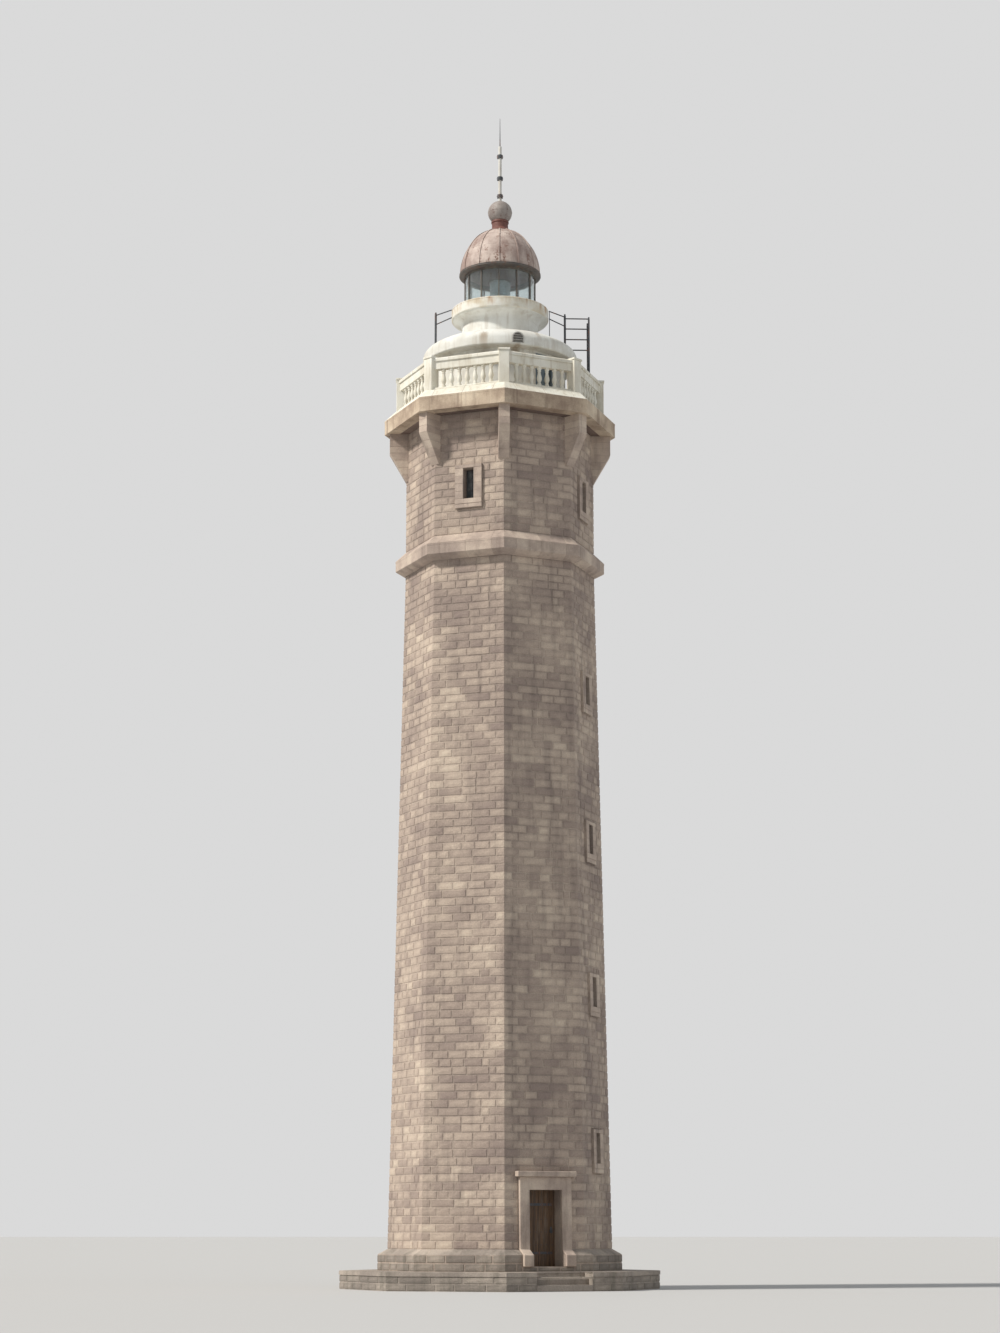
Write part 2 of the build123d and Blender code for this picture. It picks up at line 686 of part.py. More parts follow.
def make_domed_roof():
    """Shallow masonry dome on a deep rounded eave over the service room."""
    inner = SERVICE_RADIUS - SERVICE_WALL
    nose = EAVE_RADIUS - EAVE_ROUNDING
    bend = EAVE_ROUNDING * (1 - sqrt(1 / 2))
    eave = make_face(
        [
            Line((inner, 0, EAVE_FOOT), (nose, 0, EAVE_FOOT)),
            ThreePointArc(
                (nose, 0, EAVE_FOOT),
                (EAVE_RADIUS - bend, 0, EAVE_FOOT + bend),
                (EAVE_RADIUS, 0, EAVE_FOOT + EAVE_ROUNDING),
            ),
            Line((EAVE_RADIUS, 0, EAVE_FOOT + EAVE_ROUNDING), (EAVE_RADIUS, 0, EAVE_TOP)),
            Line((EAVE_RADIUS, 0, EAVE_TOP), (inner, 0, EAVE_TOP)),
            Line((inner, 0, EAVE_TOP), (inner, 0, EAVE_FOOT)),
        ]
    )
    shell = dome_section(EAVE_RADIUS, ROOF_HEIGHT, EAVE_TOP, ROOF_SHELL, DRUM_RADIUS, DRUM_BORE)
    roof = revolve(eave, Axis.Z) + revolve(shell, Axis.Z)
    save(roof - hood_form(SEAT_GAP), "domed_roof")


def arch(width, height):
    """An upright round-headed outline facing outwards, standing on its own foot."""
    spring = height - width / 2
    opening = Rectangle(width, spring, align=(Align.CENTER, Align.MIN))
    opening += Pos(0, spring) * Circle(width / 2)
    opening &= Rectangle(width, height, align=(Align.CENTER, Align.MIN))
    return Plane.YZ * opening


def hood_form(spare=0.0, inset=0.0, depth=HOOD_DEPTH):
    """The round-headed block that the roof vent fills, larger by spare or smaller by inset."""
    outline = arch(HOOD_WIDTH + 2 * (spare - inset), HOOD_HEIGHT + spare - inset)
    back = Pos(HOOD_FACE_RADIUS - depth - spare, 0, HOOD_FOOT)
    return Rot(0, 0, HOOD_ANGLE) * back * extrude(outline, depth + spare)


def make_roof_vent():
    """Small round-headed vent let into the roof's eave, with slats in its mouth."""
    vent = hood_form() - hood_form(inset=HOOD_WALL, depth=HOOD_DEPTH - HOOD_WALL)
    mouth = hood_form(inset=HOOD_WALL / 2)
    pitch = (HOOD_HEIGHT - HOOD_WALL) / (HOOD_SLATS + 1)
    back = HOOD_FACE_RADIUS - HOOD_DEPTH + HOOD_WALL / 2
    for k in range(HOOD_SLATS):
        foot = HOOD_FOOT + pitch * (k + 1)
        slat = block(
            back, HOOD_FACE_RADIUS, HOOD_WIDTH, foot, foot + HOOD_SLAT_THICKNESS, HOOD_ANGLE
        )
        vent += slat & mouth
    save(vent, "roof_vent")


def make_lantern_base():
    """Drum on the roof's crown, coved lantern gallery ring and lantern floor."""
    save(
        turned(
            [
                (DRUM_BORE, ROOF_CROWN),
                (DRUM_RADIUS, ROOF_CROWN),
                (DRUM_RADIUS, COVE_FOOT),
                (COVE_BEND_RADIUS, COVE_FOOT + COVE_BEND_HEIGHT),
                (RING_RADIUS - RING_MOULDING, RING_FOOT),
                (DRUM_BORE, RING_FOOT),
            ]
        ),
        "lantern_drum",
    )
    save(
        turned(
            [
                (DRUM_BORE, RING_FOOT),
                (RING_RADIUS - RING_MOULDING, RING_FOOT),
                (RING_RADIUS, RING_FOOT + RING_MOULDING),
                (RING_RADIUS, RING_TOP - RING_MOULDING),
                (RING_RADIUS - RING_MOULDING, RING_TOP),
                (DRUM_BORE, RING_TOP),
            ]
        ),
        "lantern_gallery_ring",
    )
    floor_foot = LANTERN_FLOOR - LANTERN_FLOOR_THICKNESS
    floor = disc(DRUM_BORE - SEAT_GAP, floor_foot, LANTERN_FLOOR)
    hole = Pos(-LANTERN_HATCH_OFFSET, 0, 0) * disc(LANTERN_HATCH_RADIUS, floor_foot, LANTERN_FLOOR)
    save(floor - hole, "lantern_floor")


def make_lantern_glazing():
    """Bronze cage of rails and astragals with curved panes between them."""
    outer = GLAZING_RADIUS
    inner = GLAZING_RADIUS - ASTRAGAL_DEPTH
    cage = tube(outer, inner, RING_TOP, RING_TOP + GLAZING_RAIL)
    cage += tube(outer, inner, GLAZING_TOP - GLAZING_RAIL, GLAZING_TOP)
    bars = [
        block(
            inner,
            outer,
            ASTRAGAL_WIDTH,
            RING_TOP,
            GLAZING_TOP,
            ASTRAGAL_START + 360 / ASTRAGAL_COUNT * k,
        )
        for k in range(ASTRAGAL_COUNT)
    ]
    save(cage + bars, "lantern_astragals")
    pane_outer = outer - ASTRAGAL_DEPTH / 2
    panes = tube(
        pane_outer,
        pane_outer - GLASS_THICKNESS,
        RING_TOP + GLAZING_RAIL + SEAT_GAP,
        GLAZING_TOP - GLAZING_RAIL - SEAT_GAP,
    )
    for k in range(ASTRAGAL_COUNT):
        panes -= block(
            0,
            outer,
            ASTRAGAL_WIDTH + 2 * SEAT_GAP,
            RING_TOP,
            GLAZING_TOP,
            ASTRAGAL_START + 360 / ASTRAGAL_COUNT * k,
        )
    save(panes, "lantern_glass")


def make_cupola():
    """Gutter rim, copper cupola shell and its raised seams."""
    bore = GLAZING_RADIUS - ASTRAGAL_DEPTH
    save(
        turned(
            [
                (bore, GLAZING_TOP),
                (GLAZING_RADIUS, GLAZING_TOP),
                (RIM_RADIUS, GLAZING_TOP + RIM_BEVEL_HEIGHT),
                (RIM_RADIUS, CUPOLA_FOOT),
                (bore, CUPOLA_FOOT),
            ]
        ),
        "cupola_rim",
    )
    shell = dome_section(
        CUPOLA_RADIUS, CUPOLA_HEIGHT, CUPOLA_FOOT, CUPOLA_SHELL, NECK_FOOT_RADIUS, NECK_RADIUS
    )
    save(revolve(shell, Axis.Z), "cupola_shell")
    raised = dome_section(
        CUPOLA_RADIUS + RIB_HEIGHT,
        CUPOLA_HEIGHT + RIB_HEIGHT,
        CUPOLA_FOOT,
        RIB_HEIGHT - SEAT_GAP,
        NECK_FOOT_RADIUS + 2 * RIB_HEIGHT,
        NECK_FOOT_RADIUS + RIB_HEIGHT,
    )
    seam = extrude(raised, RIB_WIDTH / 2, both=True)
    seams = [
        Rot(0, 0, ASTRAGAL_START + 360 / ASTRAGAL_COUNT * k) * seam for k in range(ASTRAGAL_COUNT)
    ]
    save(joined(seams), "cupola_seams")


def make_ventilator():
    """Ball ventilator on a waisted neck, with the lightning rod above it."""
    ball = Pos(0, 0, BALL_CENTRE) * Sphere(BALL_RADIUS)
    ball &= disc(BALL_RADIUS, NECK_TOP, ROD_FOOT)
    neck = turned(
        [
            (0, NECK_FOOT),
            (NECK_FOOT_RADIUS, NECK_FOOT),
            (NECK_RADIUS, NECK_FOOT + NECK_FLARE_HEIGHT),
            (NECK_RADIUS, NECK_TOP),
            (0, NECK_TOP),
        ]
    )
    save(neck, "ventilator_neck")
    save(ball, "ventilator_ball")
    save(disc(ROD_RADIUS, ROD_FOOT, ROD_TOP), "lightning_rod")
    collars = [
        tube(COLLAR_RADIUS, ROD_RADIUS + SEAT_GAP, ROD_FOOT + level, ROD_FOOT + level + COLLAR_HEIGHT)
        for level in COLLAR_LEVELS
    ]
    save(joined(collars), "rod_collars")
    tip = Pos(0, 0, ROD_TOP) * Cone(
        TIP_RADIUS, TIP_END_RADIUS, TIP_HEIGHT, align=(Align.CENTER, Align.CENTER, Align.MIN)
    )
    save(tip, "rod_tip")


def make_optic():
    """Drum lens of stacked glass rings on a cast pedestal."""
    lens_foot = LANTERN_FLOOR + PEDESTAL_HEIGHT
    lens_top = lens_foot + LENS_HEIGHT
    pedestal = disc(PEDESTAL_FLANGE, LANTERN_FLOOR, LANTERN_FLOOR + PEDESTAL_FLANGE_HEIGHT)
    pedestal += disc(PEDESTAL_RADIUS, LANTERN_FLOOR, lens_foot)
    pedestal += disc(LENS_RADIUS, lens_foot - PEDESTAL_FLANGE_HEIGHT, lens_foot)
    save(pedestal, "optic_pedestal")
    ring = LENS_HEIGHT / LENS_RINGS
    outline = [(LENS_BORE, lens_foot), (LENS_RADIUS - LENS_RING_DEPTH, lens_foot)]
    for k in range(LENS_RINGS):
        outline.append((LENS_RADIUS, lens_foot + ring * (k + 0.5)))
        outline.append((LENS_RADIUS - LENS_RING_DEPTH, lens_foot + ring * (k + 1)))
    outline.append((LENS_BORE, lens_top))
    save(turned(outline), "optic_lens")
    save(
        turned(
            [
                (0, lens_top),
                (LENS_CAP_RADIUS, lens_top),
                (LENS_CAP_RADIUS, lens_top + LENS_CAP_HEIGHT / 2),
                (LENS_CAP_TOP_RADIUS, lens_top + LENS_CAP_HEIGHT),
                (0, lens_top + LENS_CAP_HEIGHT),
            ]
        ),
        "optic_cap",
    )


def make_ladder():
    """Iron ladder from the gallery up past the roof, with its guards and handrails."""
    sides = (-LADDER_HALF_WIDTH, LADDER_HALF_WIDTH)
    stiles = [
        bar((LADDER_RADIUS, side, DECK), (LADDER_RADIUS, side, DECK + LADDER_TOP), LADDER_BAR)
        for side in sides
    ]
    rung = bar((LADDER_RADIUS, sides[0], DECK), (LADDER_RADIUS, sides[1], DECK), RUNG_RADIUS)
    rungs = [
        Pos(0, 0, RUNG_SPACING * k) * rung for k in range(1, int(LADDER_TOP / RUNG_SPACING) + 1)
    ]
    save(joined(stiles + rungs), "access_ladder")
    make_guards(sides[0])


def make_guards(side):
    """Guard rails beside the ladder and handrails from the roof's posts to the lantern."""
    roof = roof_below()
    ring = disc(RING_RADIUS + SEAT_GAP, RING_FOOT, RING_TOP)
    foot = (GUARD_POST_RADIUS, side, EAVE_TOP)
    top = (GUARD_POST_RADIUS, side, DECK + GUARD_POST_TOP)
    post = bar(foot, top, GUARD_POST_BAR) - roof
    stile_face = LADDER_RADIUS - LADDER_BAR - SEAT_GAP
    guard = post
    for height in GUARD_LEVELS:
        level = DECK + height
        guard += bar((stile_face, side, level), (GUARD_POST_RADIUS, side, level), GUARD_BAR) - roof
    save(guard + mirror(post, Plane.YZ), "ladder_guard_rails")
    rails = [
        bar((GUARD_POST_RADIUS, side, DECK + low), (RING_RADIUS, side, DECK + high), HANDRAIL_BAR)
        for low, high in HANDRAIL_LEVELS
    ]
    clear = bar(foot, top, GUARD_POST_BAR + SEAT_GAP)
    pair = joined(rails) - clear - ring
    low, high = HANDRAIL_LEVELS[0]
    share = (GUARD_POST_RADIUS - STANCHION_RADIUS) / (GUARD_POST_RADIUS - RING_RADIUS)
    rail_level = DECK + low + (high - low) * share
    stanchion = bar(
        (STANCHION_RADIUS, side, EAVE_TOP), (STANCHION_RADIUS, side, rail_level), STANCHION_BAR
    )
    save(pair + (stanchion - roof) + mirror(pair, Plane.YZ), "ladder_handrails")


def make_entrance():
    """Stone doorway with a hood moulding and its closed boarded door."""
    solid = leaning_shaft() + base_course_form()
    skin = leaning_shaft(ENTRANCE_PROJECTION) + base_course_form(ENTRANCE_PROJECTION) - solid
    around = entrance_cut(ENTRANCE_BORDER, ENTRANCE_LINTEL)
    surround = (skin & around) - entrance_cut()
    hood_foot = GROUND_FLOOR + ENTRANCE_HEIGHT + ENTRANCE_LINTEL
    hood_face = shaft_radius(hood_foot) * APOTHEM + ENTRANCE_PROJECTION + ENTRANCE_HOOD_PROJECTION
    hood = block(
        WELL_RADIUS,
        hood_face,
        ENTRANCE_WIDTH + 2 * (ENTRANCE_BORDER + ENTRANCE_HOOD_PROJECTION),
        hood_foot,
        hood_foot + ENTRANCE_HOOD_HEIGHT,
        ENTRANCE_ANGLE,
    )
    save(surround, "entrance_surround")
    save(hood - solid, "entrance_hood")
    door_face = SHAFT_BASE_RADIUS * APOTHEM - ENTRANCE_DOOR_RECESS
    leaf_width = ENTRANCE_WIDTH - 2 * SEAT_GAP
    leaf_top = GROUND_FLOOR + ENTRANCE_HEIGHT - SEAT_GAP
    leaf = block(
        door_face - ENTRANCE_LEAF_THICKNESS,
        door_face,
        leaf_width,
        GROUND_FLOOR,
        leaf_top,
        ENTRANCE_ANGLE,
    )
    board = leaf_width / ENTRANCE_BOARDS
    for k in range(1, ENTRANCE_BOARDS):
        groove = block(
            door_face - ENTRANCE_BOARD_GROOVE,
            door_face,
            ENTRANCE_BOARD_GROOVE,
            GROUND_FLOOR,
            leaf_top,
            0,
        )
        leaf -= Rot(0, 0, ENTRANCE_ANGLE) * Pos(0, board * k - leaf_width / 2, 0) * groove
    save(leaf, "entrance_door")
    straps = [
        block(
            door_face,
            door_face + HINGE_STRAP_THICKNESS,
            leaf_width - board,
            GROUND_FLOOR + level,
            GROUND_FLOOR + level + HINGE_STRAP_HEIGHT,
            ENTRANCE_ANGLE,
        )
        for level in HINGE_STRAP_LEVELS
    ]
    save(joined(straps), "entrance_door_straps")


def main():
    """Build every piece of the lighthouse."""
    os.makedirs("parts", exist_ok=True)
    make_podium()
    make_tower_walls()
    make_string_course()
    make_watch_room()
    make_windows()
    make_corner_corbels()
    make_gallery_slab()
    make_balustrade()
    make_service_room()
    make_domed_roof()
    make_roof_vent()
    make_lantern_base()
    make_lantern_glazing()
    make_cupola()
    make_ventilator()
    make_optic()
    make_ladder()
    make_entrance()


if __name__ == "__main__":
    main()
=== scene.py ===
"""Dresses the lighthouse: granite masonry, carved balustrade, plastered lantern room and copper cupola.

Metres, in the same frame as the solids: +Z up, the origin on the tower's axis at ground level,
octagon corners on the X and Y axes and halfway between.
"""

import logging
import math
import random
from collections.abc import Callable, Iterable, Sequence
from dataclasses import dataclass, field
from enum import Enum
from typing import ClassVar

import bmesh
import bpy
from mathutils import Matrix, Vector


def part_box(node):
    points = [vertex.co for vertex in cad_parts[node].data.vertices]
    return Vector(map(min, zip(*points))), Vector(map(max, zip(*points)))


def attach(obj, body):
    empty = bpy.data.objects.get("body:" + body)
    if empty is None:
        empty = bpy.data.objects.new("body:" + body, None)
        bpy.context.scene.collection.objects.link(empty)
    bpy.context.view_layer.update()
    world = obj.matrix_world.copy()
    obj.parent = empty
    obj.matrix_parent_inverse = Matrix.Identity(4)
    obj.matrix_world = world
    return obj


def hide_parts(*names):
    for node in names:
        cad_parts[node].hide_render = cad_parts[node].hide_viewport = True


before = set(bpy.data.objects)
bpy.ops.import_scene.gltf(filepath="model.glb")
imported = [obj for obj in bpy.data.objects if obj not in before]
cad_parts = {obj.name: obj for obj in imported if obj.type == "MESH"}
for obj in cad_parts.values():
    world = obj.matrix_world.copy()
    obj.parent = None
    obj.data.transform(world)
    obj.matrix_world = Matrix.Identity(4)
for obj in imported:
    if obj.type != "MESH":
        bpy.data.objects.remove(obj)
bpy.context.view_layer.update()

LOG = logging.getLogger("lighthouse")
BODY = "root"
SIDES = 8
HALF_TURN = math.pi / SIDES
APOTHEM = math.cos(HALF_TURN)
FACE_ANGLES = [2 * HALF_TURN * (k + 0.5) for k in range(SIDES)]

# Limits below which points count as one and faces as flat, and above which edges are bevelled or sharp
SAME_PLACE = 1e-5
SAME_PLANE = math.radians(0.5)
HARD_EDGE = math.radians(28)
SHARP_EDGE = math.radians(32)

Colour = tuple[float, float, float]
Point = tuple[float, float]
Outline = tuple[Point, ...]
Plate = tuple[float, float, float, float]


class Surface(Enum):
    """How a mineral surface is worked: crystals to a metre, their share and the bump's depth."""

    HEWN = (60.0, 0.45, 0.014)
    DRESSED = (70.0, 0.35, 0.008)
    CARVED = (110.0, 0.14, 0.005)
    RENDERED = (130.0, 0.07, 0.006)


class Nodes:
    """Adds nodes and links to one node tree."""

    def __init__(self, tree: bpy.types.NodeTree) -> None:
        """Keeps the tree."""
        self.tree = tree

    def feed(self, socket: bpy.types.NodeSocket, value: object) -> None:
        """Links a socket to another, or sets its own value.

        Args:
            socket: The input socket.
            value: An output socket to link, or a plain value.
        """
        if isinstance(value, bpy.types.NodeSocket):
            self.tree.links.new(value, socket)
        else:
            socket.default_value = value

    def add(self, kind: str, inputs: dict | None = None, **settings: object) -> bpy.types.Node:
        """Adds one node.

        Args:
            kind: The node's type name.
            inputs: Values or sockets by input name or index.
            **settings: Attributes of the node, set before its inputs.

        Returns:
            The new node.
        """
        node = self.tree.nodes.new(kind)
        for name, value in settings.items():
            setattr(node, name, value)
        for key, value in (inputs or {}).items():
            self.feed(node.inputs[key], value)
        return node

    def math(
        self,
        operation: str,
        first: object,
        second: object = 0.0,
        third: object = None,
        clamp: bool = False,
    ) -> bpy.types.NodeSocket:
        """Adds a math node and gives its output."""
        inputs = {0: first, 1: second} if third is None else {0: first, 1: second, 2: third}
        return self.add("ShaderNodeMath", inputs, operation=operation, use_clamp=clamp).outputs[0]

    def vector(self, operation: str, first: object, second: object) -> bpy.types.NodeSocket:
        """Adds a vector math node and gives its vector output."""
        return self.add("ShaderNodeVectorMath", {0: first, 1: second}, operation=operation).outputs[0]

    def place(self) -> bpy.types.NodeSocket:
        """Gives the place on the object, in metres."""
        return self.add("ShaderNodeTexCoord").outputs["Object"]

    def noise(self, place: object, scale: object, detail: float, rough: float) -> bpy.types.NodeSocket:
        """Adds a noise texture and gives its value."""
        inputs = {"Vector": place, "Scale": scale, "Detail": detail, "Roughness": rough}
        return self.add("ShaderNodeTexNoise", inputs).outputs[0]

    def between(self, share: object, low: float, high: float) -> bpy.types.NodeSocket:
        """Stretches 0 to 1 to another range."""
        return self.add("ShaderNodeMapRange", {0: share, 3: low, 4: high}).outputs[0]

    def ramp(self, factor: object, stops: Sequence[tuple[float, Colour]]) -> bpy.types.NodeSocket:
        """Adds a colour ramp and gives its colour output.

        Args:
            factor: Socket that drives it.
            stops: Place and colour of each stop.

        Returns:
            The colour socket.
        """
        node = self.add("ShaderNodeValToRGB", {0: factor})
        marks = node.color_ramp.elements
        while len(marks) < len(stops):
            marks.new(0.5)
        for mark, (place, colour) in zip(marks, stops):
            mark.position = place
            mark.color = (*colour, 1.0)
        return node.outputs[0]

    def window(self, value: object, low: float, high: float) -> bpy.types.NodeSocket:
        """Stretches a range of a value to 0 to 1 with soft ends."""
        inputs = {0: value, 1: low, 2: high}
        return self.add("ShaderNodeMapRange", inputs, interpolation_type="SMOOTHSTEP").outputs[0]

    def mix(
        self, factor: object, first: object, second: object, blend: str = "MIX"
    ) -> bpy.types.NodeSocket:
        """Mixes two colours.

        Args:
            factor: Share of the second colour.
            first: First colour or socket.
            second: Second colour or socket.
            blend: Blend mode.

        Returns:
            The colour socket.
        """
        node = self.add("ShaderNodeMix", data_type="RGBA", blend_type=blend)
        for index, value in ((0, factor), (6, first), (7, second)):
            if isinstance(value, tuple) and len(value) == 3:
                value = (*value, 1.0)
            self.feed(node.inputs[index], value)
        return node.outputs[2]


Outputs = tuple[bpy.types.NodeSocket, ...]

# Detail and roughness of the noise, then the part of its range that shows
BLOTCHES = (6.0, 0.62, 0.35, 0.68)
STREAKS = (5.0, 0.6, 0.48, 0.72)
SPOTS = (3.0, 0.7, 0.38, 0.66)
PITS = (8.0, 0.68)
CRYSTAL_HEIGHT = 0.35
RUST_STRETCH = (9.0, 9.0, 0.8)
RUST_WIDTH = 1.25
RUST_EDGE = (0.0, 0.6)
RUST_HEAD = (0.12, 0.30)
RUST_RAGGED = 0.3


def draw_weather(nodes: Nodes, given: Outputs) -> Outputs:
    """Large blotches, rain streaks and small spots over a surface.

    Args:
        nodes: The group's nodes.
        given: Blotch scale, streak scale, streak length and spot scale.

    Returns:
        Blotch, streak and spot.
    """
    blotch_scale, streak_scale, streak_length, spot_scale = given
    place = nodes.place()
    stretch = nodes.add("ShaderNodeCombineXYZ", {0: 1.0, 1: 1.0, 2: streak_length}).outputs[0]
    drawn = nodes.vector("MULTIPLY", place, stretch)
    layers = (place, blotch_scale, BLOTCHES), (drawn, streak_scale, STREAKS), (place, spot_scale, SPOTS)
    return tuple(
        nodes.window(nodes.noise(where, scale, detail, rough), low, high)
        for where, scale, (detail, rough, low, high) in layers
    )


def draw_grain(nodes: Nodes, given: Outputs) -> Outputs:
    """Crystals and pits of stone, plaster or cast metal.

    Args:
        nodes: The group's nodes.
        given: Scale of the crystals and of the pits.

    Returns:
        Fleck and height.
    """
    place = nodes.place()
    inputs = {"Vector": place, "Scale": given[0]}
    crystal = nodes.add("ShaderNodeTexVoronoi", inputs, feature="F1").outputs
    fleck = nodes.add("ShaderNodeSeparateColor", {0: crystal["Color"]}).outputs[0]
    pits = nodes.noise(place, given[1], *PITS)
    return fleck, nodes.math("MULTIPLY_ADD", crystal["Distance"], CRYSTAL_HEIGHT, pits)


def draw_rust_run(nodes: Nodes, given: Outputs) -> Outputs:
    """One ragged run of rust down a round wall or roof, below something that rusts.

    Args:
        nodes: The group's nodes.
        given: Direction, half width, top and foot.

    Returns:
        The rust's share.
    """
    angle, half, top, foot = given
    place = nodes.place()
    inputs = {"Vector": place, "Angle": nodes.math("MULTIPLY", angle, -1.0)}
    turned = nodes.add("ShaderNodeVectorRotate", inputs, rotation_type="Z_AXIS").outputs[0]
    out, side, level = nodes.add("ShaderNodeSeparateXYZ", {0: turned}).outputs
    thin = nodes.vector("MULTIPLY", place, RUST_STRETCH)
    noise = nodes.add("ShaderNodeTexNoise", {"Vector": thin, "Scale": 1.0}).outputs[0]
    aside = nodes.math("DIVIDE", nodes.math("ABSOLUTE", side), half)
    aside = nodes.math("SUBTRACT", RUST_WIDTH, nodes.math("ADD", aside, noise))
    down = nodes.math("SUBTRACT", top, level)
    length = nodes.math("SUBTRACT", top, foot)
    fade = nodes.math("SUBTRACT", 1.0, nodes.math("DIVIDE", down, length), clamp=True)
    below = nodes.window(nodes.math("MULTIPLY_ADD", noise, RUST_RAGGED, down), *RUST_HEAD)
    front = nodes.math("GREATER_THAN", out, 0.0)
    share = nodes.math("MULTIPLY", nodes.window(aside, *RUST_EDGE), fade)
    return (nodes.math("MULTIPLY", share, nodes.math("MULTIPLY", below, front)),)


@dataclass(frozen=True)
class Effect:
    """A shader node group that several finishes share, built once.

    Attributes:
        name: The group's name.
        inputs: Its float inputs with their values.
        outputs: Names of its float outputs.
        draw: Builds what the group puts out.
    """

    name: str
    inputs: tuple[tuple[str, float], ...]
    outputs: tuple[str, ...]
    draw: Callable[[Nodes, Outputs], Outputs]

    _made: ClassVar[dict[str, bpy.types.NodeTree]] = {}

    def tree(self) -> bpy.types.NodeTree:
        """Gives the effect's group, built on first use.

        Returns:
            The group.
        """
        if self.name not in self._made:
            tree = self._made[self.name] = bpy.data.node_groups.new(self.name, "ShaderNodeTree")
            for label, value in self.inputs:
                socket = tree.interface.new_socket(label, in_out="INPUT", socket_type="NodeSocketFloat")
                socket.default_value = value
            for label in self.outputs:
                tree.interface.new_socket(label, in_out="OUTPUT", socket_type="NodeSocketFloat")
            nodes = Nodes(tree)
            given = tuple(nodes.add("NodeGroupInput").outputs)[: len(self.inputs)]
            nodes.add("NodeGroupOutput", dict(enumerate(self.draw(nodes, given))))
        return self._made[self.name]

    def use(self, nodes: Nodes, inputs: dict[str, object]) -> bpy.types.bpy_prop_collection:
        """Places the effect in a material."""
        return nodes.add("ShaderNodeGroup", inputs, node_tree=self.tree()).outputs


WEATHER = Effect(
    "weather",
    (("Blotch Scale", 0.6), ("Streak Scale", 3.0), ("Streak Length", 0.12), ("Spot Scale", 30.0)),
    ("Blotch", "Streak", "Spot"),
    draw_weather,
)
GRAIN = Effect("grain", (("Scale", 60.0), ("Pit Scale", 14.0)), ("Fleck", "Height"), draw_grain)
RUST_RUN = Effect(
    "rust_run",
    (("Angle", 0.0), ("Half Width", 0.2), ("Top", 1.0), ("Foot", 0.0)),
    ("Share",),
    draw_rust_run,
)


class Finish:
    """A finish that makes its material once."""

    name: str
    slot: str
    _made: ClassVar[dict[str, bpy.types.Material]] = {}

    def material(self) -> bpy.types.Material:
        """Gives the finish's material, built on first use.

        Returns:
            The material.
        """
        if self.name in self._made:
            return self._made[self.name]
        made = self._made[self.name] = bpy.data.materials.new(self.name)
        made.use_nodes = True
        made.node_tree.nodes.clear()
        nodes = Nodes(made.node_tree)
        shader = nodes.add("ShaderNodeBsdfPrincipled")
        nodes.add("ShaderNodeOutputMaterial", {0: shader.outputs[0]})
        self.shade(nodes, shader)
        return made

    def shade(self, nodes: Nodes, shader: bpy.types.Node) -> None:
        """Builds the finish on a Principled shader."""
        raise NotImplementedError

    def bump(self, nodes: Nodes, shader: bpy.types.Node, height: object, depth: float) -> None:
        """Gives the shader a bumped normal."""
        node = nodes.add("ShaderNodeBump", {"Height": height, "Distance": depth, "Strength": 1.0})
        nodes.feed(shader.inputs["Normal"], node.outputs[0])


